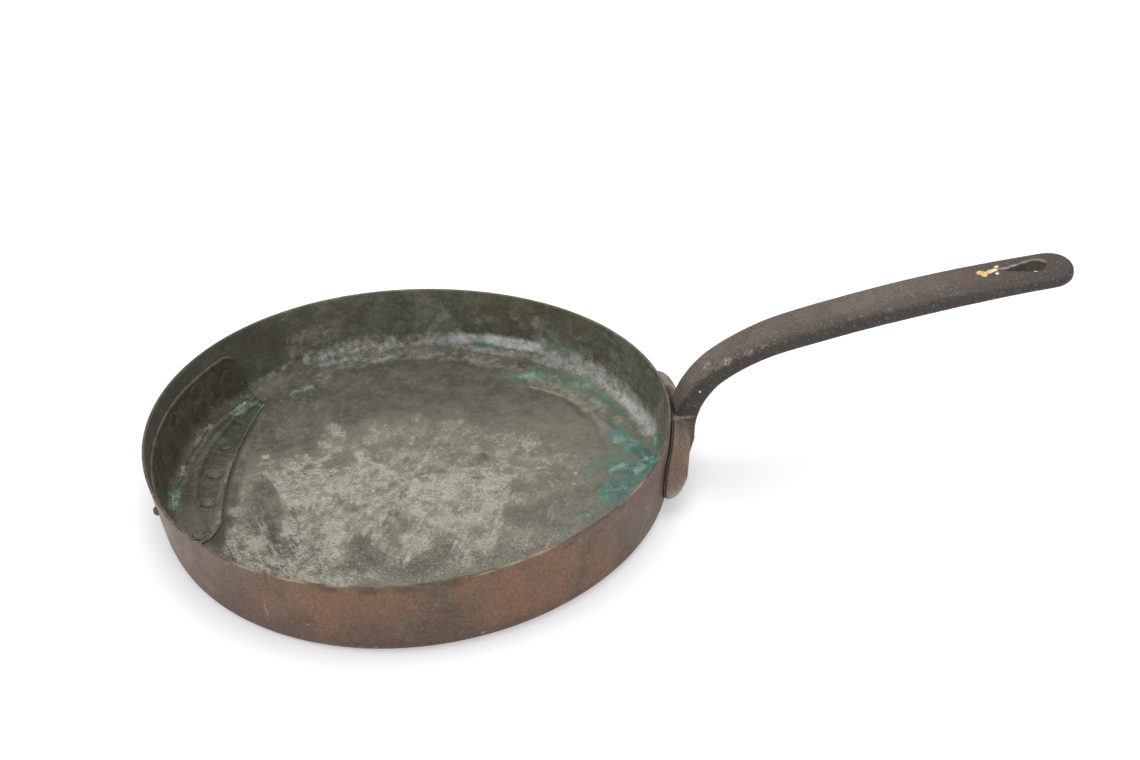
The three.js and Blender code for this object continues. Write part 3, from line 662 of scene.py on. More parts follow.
def dented(points, side, height):
    # One row of the pan with its hammered unevenness
    s = panSizes
    top = s["height"]
    outward = points[:, :2] / np.maximum(np.linalg.norm(points[:, :2], axis=-1, keepdims=True), 1e-6)
    if side == "out":
        fade = between(height, s["dentBottom"], s["dentFull"]) * between(height, top, top - s["dentTop"])
        push = -s["wallDent"] * fade * (1 + lumps(points, s["wallLumps"])) / 2
        points[:, :2] += outward * push[:, None]
    if side == "in":
        slope = math.pi / 2
        if height > s["floorThickness"] + 0.01:
            slope = float(np.interp(height, [s["floorThickness"], coveTop], [math.pi / 2, wallSlope]))
        lift = insideDent(points) * between(height, top, top - s["rimFade"])
        points[:, :2] -= outward * (lift * math.cos(slope))[:, None]
        points[:, 2] += lift * math.sin(slope)
    return points


def panMesh():
    rows = panRows()
    around, count = panSizes["around"], len(rows)
    angles = np.linspace(0, 2 * math.pi, around, endpoint=False)
    farAway = 1000.0  # outside places lie in none of the zones
    grid, flat = [], []
    for radius, height, side, length in rows:
        share = eased(radius / (trueRadius(height) - panSizes["cove"]))
        reach = radius + wallSwell(angles, height) * share if radius > 0 else 0 * angles
        points = turned(reach, angles, height)
        if side in ("under", "out"):
            flat.append(np.full((around, 2), farAway))
        else:
            flat.append(points[:, :2].copy() if length is None else unrolled(angles, length))
        grid.append(dented(points, side, height))
    grid, flat = np.array(grid), np.array(flat)
    grid[-1, :, 2] = grid[-1, :, 2].mean()
    points = np.concatenate([grid[0, :1], grid[1:-1].reshape(-1, 3), grid[-1, :1]])
    places = np.concatenate([flat[0, :1], flat[1:-1].reshape(-1, 2), flat[-1, :1]])
    insideStart = [side for _, _, side, _ in rows].index("rim") + panSizes["rimRows"] - 1

    def at(row, column):
        return 1 + (row - 1) * around + column % around

    faces = [(0, at(1, column + 1), at(1, column)) for column in range(around)]
    inner = [0] * around
    for row in range(1, count - 2):
        for column in range(around):
            after = column + 1
            faces.append((at(row, column), at(row, after), at(row + 1, after), at(row + 1, column)))
        inner += [int(row >= insideStart)] * around
    last, middle = count - 2, len(points) - 1
    faces += [(at(last, column), at(last, column + 1), middle) for column in range(around)]
    inner += [1] * around
    mesh = meshFrom("copperPan", points * mm, faces)
    mesh.polygons.foreach_set("material_index", inner)
    addZones(mesh, places, insideZones)
    return mesh


# Outside: bare copper under a brown patina, with warmer rubbed places and dark stains under the rim
# bright is the colour of the painted highlights on the rim
outsideColours = {
    "brown": paint(112, 91, 77), "warm": paint(142, 106, 80), "plum": paint(96, 79, 69),
    "dusty": paint(134, 115, 98), "stain": paint(66, 58, 48), "bright": paint(178, 152, 134),
    "chalk": paint(184, 160, 140),
}
outsidePlaces = {
    # angle round the pan in degrees and height, then inner and outer distance, in millimetres
    "warmPatches": [
        (256, 28, 8, 34), (266, 30, 4, 24), (292, 20, 6, 30), (303, 26, 4, 24), (241, 22, 2, 16),
        (284, 34, 2, 14), (314, 10, 4, 20), (300, 14, 4, 20),
    ],
    "plumPatches": [
        (236, 12, 6, 26), (262, 8, 6, 22), (279, 14, 4, 18), (326, 20, 4, 20), (250, 16, 2, 10),
    ],
    "stains": [(212, 12, 0.5, 4), (251, 17, 0.3, 3)], "scratch": [(241.3, 15, 1, 9)],
    "rimStains": [
        (256, 37.6, 0.8, 4), (264, 37, 1, 4.5), (271, 37.4, 0.6, 4), (280, 37.4, 0.8, 4),
        (306, 36.5, 0.3, 3.5), (322, 37.5, 0.3, 3),
    ],
    # Rubbed copper on the rim, with painted highlights on it
    "rubbedRimHighlights": [
        (287, 38.8, 2, 6), (293, 39.2, 2, 7), (299, 39.2, 2, 8), (238, 39.4, 2, 9), (248, 39.4, 2, 9),
        (258, 39.5, 1, 6), (328, 39.4, 2, 9),
    ],
    "nicks": [
        (285.5, 4.5, 0.4, 1.3), (261, 3.4, 0.3, 1.2), (264, 3.6, 0.3, 1.2), (233, 37, 0.3, 0.9),
        (309, 34.5, 0.2, 0.7), (310.6, 34.8, 0.2, 0.7), (332, 21, 0.2, 0.8), (250.5, 14, 0.2, 0.7),
    ],
}


def agedCopper():
    f = Finish("agedCopper", outsideColours)
    broad = f.noise(42, 3, 0.55)
    cloudy = f.noise(12, 5, 0.62)
    small = f.noise(3.2, 4, 0.65)
    fine = f.noise(1.1, 4, 0.7)
    streaky = f.noise(5, 5, 0.66, place=f.stretched((1, 1, 0.7), move=(0.4, 0.9, 0.2)))
    shifted = f.noise(2.2, 4, 0.66, place=f.stretched(move=(0.7, 0.1, 0.3)))

    def marks(key, wobble, size, squash=(1, 1, 1)):
        places = []
        for degrees, height, inner, outer in outsidePlaces[key]:
            places.append((onWall(math.radians(degrees), height), inner, outer))
        return f.marked(places, wobble, size, squash)

    f.colour = f.blend(f.step(broad, 0.4, 0.64, 0.0, 0.6), "brown", "plum")
    f.cover("warm", f.step(streaky, 0.42, 0.7, 0.0, 0.4))
    f.cover("dusty", f.step(small, 0.42, 0.66, 0.0, 0.45))
    f.cover("plum", f.step(shifted, 0.5, 0.68, 0.0, 0.4))
    f.cover("warm", marks("warmPatches", cloudy, 12), 0.62)
    f.cover("plum", marks("plumPatches", cloudy, 12), 0.5)
    f.cover("plum", f.along(f.z, 13, 3), f.step(cloudy, 0.3, 0.6, 0.15, 0.5))
    f.cover("stain", marks("stains", small, 6), 0.5)
    f.cover("stain", marks("rimStains", cloudy, 5, (0.5, 0.5, 1.3)), 0.55)
    f.cover("chalk", marks("nicks", fine, 1, (0.55, 0.55, 1.5)), 0.8)
    f.cover("chalk", f.step(f.noise(2.3, 2, 0.5), 0.72, 0.78), 0.3)
    f.cover("chalk", marks("scratch", small, 3, (5.5, 5.5, 1)), f.step(fine, 0.35, 0.55), 0.5)
    # Along the rim's rounding a darker line, with painted highlights in patches along it and on the rubbed
    # places
    rim = f.along(f.z, 38.9, 39.2)
    f.cover("stain", rim, 0.45)
    f.cover("bright", rim, f.step(f.noise(9, 4, 0.65), 0.5, 0.62), 0.3)
    f.cover("bright", marks("rubbedRimHighlights", fine, 1.4, (0.7, 0.7, 9)), 0.75)
    f.tinted(3.0, 0.85)
    f.grained(fine, 126, 194, 0.75)
    relief = f.plus(f.times(fine, 0.4), small)
    return f.finished(0.35, f.step(cloudy, 0.3, 0.7, 0.42, 0.58), relief, 0.1, 0.6)


# Inside: dull tin with scoured metal, soot and verdigris, with a painted highlight along the cove and
# painted shade and shadow in places
insideLines = {
    # the painted shade in the groove along the old ring, as distances from the ring's middle: from, full,
    # full, to
    "groove": (107, 108.8, 109.4, 111.2),
    # the patch's edge on the floor, an arc that the painted shadow line lies along
    "arcRadius": 265.0, "arcMiddle": (168.0, -8.8), "shadowWidth": (2.8, 0.6),
}
insideColours = {
    "smudge": paint(116, 106, 84), "mid": paint(116, 113, 100), "dark": paint(82, 79, 68),
    "soot": paint(62, 58, 46), "dull": paint(143, 140, 126), "white": paint(178, 176, 164),
    "wall": paint(132, 132, 119), "wallDark": paint(96, 96, 84), "wallDeep": paint(72, 71, 59),
    "wallPale": paint(160, 161, 149), "wallLeft": paint(71, 70, 61), "haze": paint(158, 155, 140),
    "lilac": paint(238, 240, 243), "olive": paint(98, 94, 60), "teal": paint(82, 134, 124),
    "tealDark": paint(42, 84, 76), "tealDeep": paint(24, 56, 48), "mint": paint(146, 182, 174),
    "green": paint(94, 126, 98),
}


def wornTin():
    f = Finish("wornTin", insideColours)
    cloudy = f.noise(15, 5, 0.62)
    patchy = f.noise(7, 6, 0.66, warp=0.4)
    mottle = f.noise(3.2, 6, 0.7)
    fine = f.noise(1.5, 5, 0.7)
    grain = f.noise(0.7, 3, 0.6)
    scrubbed = f.noise(2.6, 5, 0.68, place=f.drawn(74, 4.5))
    leftScrubbed = f.noise(2.6, 5, 0.68, place=f.drawn(-66, 4))
    zones = {name: f.attribute(name) for name in insideZones}
    onFloor = f.along(f.z, 7, 3)

    # The floor: dull tin, and over it what is left of the scoured metal
    busy = f.near((-68, -56, 2), 12, 52)
    uneven = f.minus(f.level(0.5, mottle, patchy), 0.5)
    shade = f.plus(zones["gloom"], f.times(uneven, 2.6), clamp=True)
    f.colour = f.blend(shade, "mid", "dark")
    f.cover("soot", f.step(mottle, 0.52, 0.36), f.level(zones["gloom"], 0.35, 0.6))
    f.cover("dull", f.step(cloudy, 0.42, 0.68, 0.0, 0.3))
    lines = f.level(f.along(f.x, -62, -48), leftScrubbed, scrubbed)
    lines = f.level(f.along(f.y, 5, -40, 0.35, 0.85), mottle, lines)
    ground = f.minus(zones["bright"], f.times(zones["gloom"], 0.4))
    f.cover("dull", f.torn(ground, f.level(0.5, cloudy, patchy), 3.4, 0.0, 1.05), 0.85)
    scoured = f.torn(ground, f.level(0.35, lines, patchy), f.level(busy, 5.0, 8.0), 0.3, 0.9)
    over = f.blend(f.step(f.level(0.5, fine, lines), 0.42, 0.6), "mid", "white")
    f.cover(over, scoured, f.level(busy, 0.55, 0.75))
    f.cover("white", f.torn(f.times(ground, 0.8), f.level(0.5, mottle, lines), 5.5, 0.6, 1.15), 0.75)
    leftPattern = f.level(0.5, mottle, leftScrubbed)
    f.cover("soot", f.step(leftPattern, 0.52, 0.42), f.along(f.x, -34, -60), busy, 0.6)
    f.cover("dull", f.step(mottle, 0.54, 0.66), zones["gloom"], 0.3)
    f.cover("dull", f.step(leftPattern, 0.5, 0.6), f.along(f.x, -40, -62), f.level(busy, 0.5, 1.0), 0.55)
    inField = f.step(ground, 0.25, 0.7)
    f.cover("smudge", inField, f.step(patchy, 0.47, 0.38, 0.0, 0.6))
    f.cover("white", inField, f.step(cloudy, 0.5, 0.6, 0.0, 0.5))
    close = f.along(f.y, -35, -60)
    f.cover("white", f.step(fine, 0.53, 0.64, 0.0, 0.5), close)
    f.cover("soot", f.step(fine, 0.45, 0.34, 0.0, 0.5), close)
    pits = f.step(f.noise(1.7, 2, 0.5), 0.63, 0.7)
    f.cover("soot", pits, f.along(f.y, 40, 0, 0.25, 0.75))
    floor = f.colour

    # The wall: olive grey and cloudy, with painted shade on its left side and towards the rim
    angle = f.maths("ARCTAN2", f.y, f.x)
    layered = f.noise(8, 6, 0.68, place=f.stretched((1, 1, 1.6)))
    f.colour = f.blend(f.step(f.level(0.45, layered, cloudy), 0.42, 0.57), "wallDark", "wall")
    f.cover("wallPale", f.step(mottle, 0.5, 0.66, 0.0, 0.5))
    clouded = f.noise(24, 4, 0.6, place=f.stretched((1, 1, 0.5), move=(0.2, 0.5, 0.8)))
    f.cover("wallDeep", f.step(clouded, 0.52, 0.38, 0.0, 0.3))
    f.cover("wallDeep", f.torn(zones["gloom"], patchy, 2.0, 0.25, 0.95), 0.55)
    # Painted shade: the left side of the wall faces away from the light
    shadedLeftSide = f.most(f.step(angle, 2.02, 2.4), f.step(angle, -2.0, -2.4))
    f.cover("wallLeft", shadedLeftSide, 0.66)
    # Painted shade: the wall grows darker towards the rim
    f.cover("wallDeep", f.along(f.z, 23, 32, 0.0, 0.26))
    f.cover("wallDeep", f.step(fine, 0.5, 0.34, 0.0, 0.45))
    f.cover(floor, onFloor)

    f.cover("olive", f.torn(zones["olive"], patchy, 2.6, 0.2, 0.9), 0.42)
    # Painted shade in the groove along the old ring, stronger on the far right
    away = f.distance((*panSizes["ringMiddle"], 0), (1, 1, 0))
    start, first, last, end = insideLines["groove"]
    groove = f.times(f.along(away, start, first), f.along(away, end, last), onFloor)
    grooveShadeSide = f.times(f.step(angle, 0.2, 0.45), f.step(angle, 1.9, 1.5))
    f.cover("dark", groove, f.level(grooveShadeSide, 0.12, 0.5))
    # Painted shadow: a dark line on the floor just beside the patch's edge, where the edge casts its shadow
    beside = f.distance((*insideLines["arcMiddle"], 0), (1, 1, 0))
    gap = f.minus(insideLines["arcRadius"] * mm, beside)
    shadowLines = f.times(f.along(gap, *insideLines["shadowWidth"]), f.along(f.x, -60, -75), f.along(f.y, -54, -44))
    f.cover("soot", shadowLines, onFloor, f.along(f.y, 70, 55, 0.2, 0.85))
    # Pale haze, and the painted highlight of the white band along the cove
    f.cover("haze", f.torn(zones["pale"], f.level(0.5, mottle, patchy), 3.2, 0.1, 0.95),
            f.step(fine, 0.3, 0.55, 0.45, 0.85))
    wisps = f.level(0.3, f.level(0.5, patchy, layered), mottle)
    # The painted highlight along the cove, torn at its edges
    scale = f.torn(zones["white"], wisps, 2.2, 0.05, 1.25)
    f.cover("lilac", scale, f.step(mottle, 0.3, 0.55, 0.6, 0.85))
    # Verdigris
    f.cover("green", f.torn(zones["green"], patchy, 2.5, 0.15, 0.85), f.step(fine, 0.3, 0.6, 0.3, 0.8))
    mixed = f.level(0.5, mottle, patchy)
    haze = f.blend(f.step(patchy, 0.4, 0.58), "green", "teal")
    f.cover(haze, f.step(zones["teal"], 0.0, 0.55), f.step(mixed, 0.36, 0.6, 0.25, 0.7))
    verdigris = f.blend(f.step(patchy, 0.46, 0.6), "tealDark", "teal")
    verdigris = f.blend(f.step(mixed, 0.48, 0.38, 0.0, 0.6), verdigris, "tealDeep")
    verdigris = f.blend(f.step(mottle, 0.5, 0.66, 0.0, 0.5), verdigris, "mint")
    f.cover(verdigris, f.torn(zones["teal"], mixed, 2.6, 0.35, 1.3), 0.9)
    flecked = f.blend(f.step(fine, 0.5, 0.64, 0.0, 0.6), "mint", "lilac")
    f.cover(flecked, f.torn(zones["mint"], mixed, 2.8, 0.1, 1.1), 0.72)
    f.tinted(3.4, 0.62)
    f.grained(grain, 158, 208, 0.8)
    relief = f.minus(f.plus(f.times(fine, 0.8), f.times(grain, 0.25)), f.times(pits, 0.5))
    return f.finished(0.25, f.step(patchy, 0.35, 0.65, 0.5, 0.62), relief, 0.16, 0.6)


panPiece = newObject("copperPan", panMesh())
panPiece.data.materials.append(agedCopper())
panPiece.data.materials.append(wornTin())
handOver(panPiece, "aged_copper", "pan_body")
print("pan is made", len(panPiece.data.polygons))


# The handle

handleSizes = {
    # the bar's middle line: up along the wall, round the bend, up the arm and out along the grip
    "stemStandOff": 6.1, "stemGap": 1.0, "stemStart": 21.2, "stemRise": 2.8,
    "bendRadius": 48.5, "bendAngle": math.radians(54.6), "armRadius": 112.5, "armAngle": math.radians(19),
    "gripRadius": 876.0, "gripLength": 146.0, "rootDepth": 12.0, "rootCover": 10.0,
    # its section, and the shares of its length where the section settles and where it changes again
    "stemWidth": 18.4, "gripWidth": 25.7, "endWidth": 28.5, "widthSettles": 0.45, "widthSpreads": 0.5,
    "stemThickness": 13.5, "gripThickness": 10.3, "endThickness": 6.4, "thicknessSettles": 0.32,
    "thicknessTapers": 0.6, "endRounding": 12.0, "endFullness": 0.35, "squareness": 4.5,
    # the teardrop eye, and the flange with its two lobes and the rivet in its middle
    "eyeRadius": 5.4, "eyeLength": 16.2, "eyeFromEnd": 18.7, "eyeOffset": 1.5, "eyeTaper": 0.027,
    "eyeDepth": 15,
    "flangeHalfWidth": 42.0, "lobeCentre": 28.0, "flangeMid": 21.0, "flangeTop": 37.5, "lobeTop": 33.0,
    "lobeBottom": 9.0, "archBottom": 12.0, "middleBottom": 6.0, "flangeTilt": math.radians(8.5),
    "flangeEdge": 2.2, "flangePeak": 9.8, "flangeDome": 0.6, "lobeTipShare": 0.12, "seatGap": 0.3,
    "middleRivetHeight": 15,
    # rings of points, and the sand cast skin as layers of height, size and seed
    "sectionPoints": 48, "rootRings": 5, "barRings": 110, "endRings": 14, "eyePoints": 48,
    "flangeColumns": 80, "flangeRows": 24, "clearancePoints": 180,
    "meshSize": 0.62, "softness": 0.5, "softRounds": 7, "grain": 0.09,
    "grainLumps": [(0.5, 1.7, 2.3), (0.9, 6, 5.1)],
}
barParts = [handleSizes["bendRadius"] * handleSizes["bendAngle"],
            handleSizes["armRadius"] * handleSizes["armAngle"], handleSizes["gripLength"]]
barLength = handleSizes["stemRise"] + sum(barParts)
stemCentre = float(wallRadius(0, handleSizes["stemStart"])) + handleSizes["stemStandOff"]
stemCover = handleSizes["stemStandOff"] + handleSizes["stemThickness"] / 2


def barSpot(length):
    # Place and lean of the bar's middle line at a length along it
    s = handleSizes
    x, z, lean = stemCentre, s["stemStart"] + min(length, s["stemRise"]), 0.0
    left = length - s["stemRise"]
    for distance, radius in zip(barParts, (s["bendRadius"], s["armRadius"], s["gripRadius"])):
        turn = min(max(left, 0), distance) / radius
        x += radius * (math.cos(lean) - math.cos(lean + turn))
        z += radius * (math.sin(lean + turn) - math.sin(lean))
        lean += turn
        left -= distance
    return x, z, lean


def twoSteps(share, sizes, settles, changes):
    # From the first of three sizes to the second by one share of the length, and to the third after another
    first, second, third = sizes
    late = eased((share - changes) / (1 - changes))
    return first + (second - first) * eased(share / settles) + (third - second) * late


def barWidth(length):
    s = handleSizes
    sizes = (s["stemWidth"], s["gripWidth"], s["endWidth"])
    return twoSteps(length / barLength, sizes, s["widthSettles"], s["widthSpreads"])


def barThickness(length):
    s = handleSizes
    sizes = (s["stemThickness"], s["gripThickness"], s["endThickness"])
    return twoSteps(length / barLength, sizes, s["thicknessSettles"], s["thicknessTapers"])


def barSection(x, z, lean, width, thickness):
    sides = handleSizes["sectionPoints"]
    turn = 2 * math.pi * (np.arange(sides) + 0.5) / sides
    power = 2 / handleSizes["squareness"]
    across = np.sign(np.cos(turn)) * np.abs(np.cos(turn)) ** power * width / 2
    out = np.sign(np.sin(turn)) * np.abs(np.sin(turn)) ** power * thickness / 2
    return np.stack([x - math.cos(lean) * out, across, z + math.sin(lean) * out], -1)


def ringFaces(rings, sides):
    # The faces between closed rings of points
    faces = []
    for ring in range(rings - 1):
        for side in range(sides):
            a, b = ring * sides + side, ring * sides + (side + 1) % sides
            faces.append((a, b, b + sides, a + sides))
    return faces


def closedLoft(name, rings):
    sides = len(rings[0])
    last = (len(rings) - 1) * sides
    faces = ringFaces(len(rings), sides) + [tuple(reversed(range(sides))), tuple(range(last, last + sides))]
    mesh = meshFrom(name, np.concatenate(rings) * mm, faces)
    outwardFaces(mesh)
    return mesh


def rootCoverAt(height):
    # How far the bar's root stands off the wall at a height
    s = handleSizes
    share = float(clampShare(1 - (s["stemStart"] - height) / s["rootDepth"]))
    return s["rootCover"] + (stemCover - s["rootCover"]) * share


def barMesh():
    s = handleSizes
    rings = []
    for step in range(s["rootRings"]):
        height = s["stemStart"] - s["rootDepth"] * (1 - step / s["rootRings"])
        cover = rootCoverAt(height)
        rings.append(barSection(float(wallRadius(0, height)) + cover / 2, height, 0, s["stemWidth"], cover))
    bodyLength = barLength - s["endRounding"]
    for length in np.linspace(0, bodyLength, s["barRings"]):
        rings.append(barSection(*barSpot(length), barWidth(length), barThickness(length)))
    for step in range(1, s["endRings"] + 1):
        turn = math.pi / 2 * step / (s["endRings"] + s["endFullness"])
        length = bodyLength + s["endRounding"] * math.sin(turn)
        width = barWidth(length) * math.cos(turn)
        thickness = barThickness(length) * math.cos(turn) ** s["endFullness"]
        rings.append(barSection(*barSpot(length), width, thickness))
    return closedLoft("handleBar", rings)


def lobeEnd(along):
    # How full the flange still is on the rounded outer side of a lobe
    s = handleSizes
    past = clampShare((abs(along) - s["lobeCentre"]) / (s["flangeHalfWidth"] - s["lobeCentre"]))
    return max(math.sqrt(1 - past * past), s["lobeTipShare"])


def flangeUpper(along):
    s = handleSizes
    start = s["stemWidth"] / 2
    fall = float(eased((abs(along) - start) / (s["lobeCentre"] - start)))
    edge = s["flangeTop"] + (s["lobeTop"] - s["flangeTop"]) * fall
    return s["flangeMid"] + (edge - s["flangeMid"]) * lobeEnd(along)


def flangeLower(along):
    # Lowest in the middle, an arch to each side of it, and low again under the lobes
    s = handleSizes
    half = s["lobeCentre"] / 2
    middle = (1 + math.cos(math.pi * float(clampShare(abs(along) / half)))) / 2
    outer = (1 + math.cos(math.pi * float(clampShare((s["lobeCentre"] - abs(along)) / half)))) / 2
    arch = s["archBottom"]
    edge = arch + (s["middleBottom"] - arch) * middle + (s["lobeBottom"] - arch) * outer
    return s["flangeMid"] + (edge - s["flangeMid"]) * lobeEnd(along)


def flangeThickness(along, height):
    s = handleSizes
    low, high = flangeLower(along), flangeUpper(along)
    rise = min(max((height - low) / (high - low), 0), 1)
    dome = math.sin(math.pi * rise) ** s["flangeDome"] * lobeEnd(along)
    return s["flangeEdge"] + (s["flangePeak"] - s["flangeEdge"]) * dome


def flangeLevel(along, height):
    # The flange sits a little aslant on the wall
    return height + along * math.tan(handleSizes["flangeTilt"])


def flangeMesh():
    s = handleSizes
    columns, rows = s["flangeColumns"], s["flangeRows"]
    rings = []
    for column in range(columns + 1):
        along = -s["flangeHalfWidth"] * math.cos(math.pi * column / columns)
        low, high = flangeLower(along), flangeUpper(along)
        angle = along / panSizes["rimRadius"]
        near, far = [], []
        for row in range(rows + 1):
            height = low + (high - low) * (1 - math.cos(math.pi * row / rows)) / 2
            level = flangeLevel(along, height)
            near.append(onWall(angle, level, s["seatGap"]))
            far.append(onWall(angle, level, s["seatGap"] + flangeThickness(along, height)))
        rings.append(np.array(near + far[::-1]))
    return closedLoft("handleFlange", rings)


def clearanceMesh():
    # The pan's outside, grown, that the bar is cut back from
    angles = np.linspace(0, 2 * math.pi, handleSizes["clearancePoints"], endpoint=False)
    rings = []
    for height in (-20, 0, 10, 20, 30, panSizes["height"], 80):
        rings.append(onWall(angles, height, handleSizes["stemGap"]))
    return closedLoft("stemClearance", rings)


def eyeMesh():
    # A teardrop through the bar: a round end, drawn out to a point towards the pan
    s = handleSizes
    half = math.asin(s["eyeRadius"] / s["eyeLength"])
    outline = [(-s["eyeLength"], 0)]
    for turn in np.linspace(-math.pi / 2 - half, math.pi / 2 + half, s["eyePoints"]):
        outline.append((s["eyeRadius"] * math.cos(turn), s["eyeRadius"] * math.sin(turn)))
    x, z, lean = barSpot(barLength - s["eyeFromEnd"])
    rings = []
    for depth in (-s["eyeDepth"], s["eyeDepth"]):
        grow = 1 + s["eyeTaper"] * (depth - barThickness(barLength - s["eyeFromEnd"]) / 2)
        ring = []
        for along, across in outline:
            spotX = x + math.sin(lean) * along * grow - math.cos(lean) * depth
            spotZ = z + math.cos(lean) * along * grow + math.sin(lean) * depth
            ring.append((spotX, across * grow + s["eyeOffset"], spotZ))
        rings.append(np.array(ring))
    return closedLoft("eyeCutter", rings)


def carve(piece, mesh, operation):
    other = newObject("cutter", mesh)
    modifier = piece.modifiers.new(operation, "BOOLEAN")
    modifier.object = other
    modifier.operation = operation
    modifier.solver = "EXACT"
    withModifiers(piece)
    bpy.data.objects.remove(other)


def castHandle():
    s = handleSizes
    bar = newObject("castHandle", barMesh())
    carve(bar, clearanceMesh(), "DIFFERENCE")
    carve(bar, flangeMesh(), "UNION")
    carve(bar, eyeMesh(), "DIFFERENCE")
    remesh = bar.modifiers.new("evenSkin", "REMESH")
    remesh.mode = "VOXEL"
    remesh.voxel_size = s["meshSize"] * mm
    remesh.use_smooth_shade = True
    soften = bar.modifiers.new("softEdges", "SMOOTH")
    soften.factor = s["softness"]
    soften.iterations = s["softRounds"]
    withModifiers(bar)
    mesh = bar.data
    points = np.zeros(len(mesh.vertices) * 3)
    normals = np.zeros(len(mesh.vertices) * 3)
    mesh.vertices.foreach_get("co", points)
    mesh.vertices.foreach_get("normal", normals)
    points, normals = points.reshape(-1, 3), normals.reshape(-1, 3)
    push = s["grain"] * lumps(points / mm, s["grainLumps"]) * mm
    points = points + normals * push[:, None]
    mesh.vertices.foreach_set("co", points.reshape(-1))
    smoothFaces(mesh)
    x, y, z = (points / mm).T
    rim = panSizes["height"]
    offWall = np.hypot(x, y) - wallRadius(np.arctan2(y, x), np.minimum(z, rim))
    # Above the rim the painted crevice shadow stops
    farOff = 99  # the crevice stops a millimetre above the rim
    addValues(mesh, "offWall", np.where(z > rim + 1, farOff, offWall))
    mesh.update()
    return bar


# top and side are lit and shaded copies of the iron's colour: painted light and shade
ironColours = {
    "top": paint(112, 101, 90), "side": paint(66, 59, 53), "deep": paint(44, 38, 31),
    "tan": paint(134, 114, 97), "pale": paint(178, 168, 160), "rust": paint(128, 84, 54),
    "olive": paint(92, 88, 60), "gold": paint(234, 200, 140), "cream": paint(246, 230, 196),
    "violet": paint(92, 80, 88), "crevice": paint(30, 26, 21),
}
# Marks on the handle: place, then the distances to which each is full and past which it is gone
goldFlecks = [
    ((293.2, 3.0, 0), 1.3, 2.3), ((294.7, 0.1, 0), 1.1, 2.0), ((297.8, 2.4, 0), 1.1, 2.1),
    ((300.5, 3.2, 0), 1.0, 1.9), ((302.2, 6.0, 0), 0.7, 1.6), ((301.1, -0.5, 0), 0.6, 1.4),
    ((296.0, 1.6, 0), 0.9, 1.8), ((299.3, 2.9, 0), 0.9, 1.8), ((294, 1.7, 0), 0.8, 1.7),
]
ironChips = [
    ((155.2, -3.6, 64.6), 1.2, 3.4), ((163.8, -10, 70.6), 1.4, 4.0), ((174.8, -12.9, 76.7), 1.6, 4.6),
    ((188.8, -14.5, 82.7), 1.2, 4.0), ((263, -14.5, 101.7), 0.2, 3.0), ((252, -13.6, 99.5), 0.1, 2.5),
    ((245, -12.7, 97.8), 0.2, 3.0), ((325.6, 5.1, 108), 0.5, 2.0), ((325.8, -0.9, 108), 0.5, 2.0),
]
redMarks = [
    ((287, -0.5, 105.7), 1.5, 6.0), ((309.6, -5.4, 108.8), 1.5, 6.0), ((275, 3, 104), 1, 8.0),
    ((326, 1.5, 106.7), 1.0, 4.5),
]
wornSpots = [((305.5, 3.4, 0), 0.4, 1.1), ((311.3, 4.7, 0), 0.4, 1.1), ((317, 6, 0), 0.4, 1.1)]


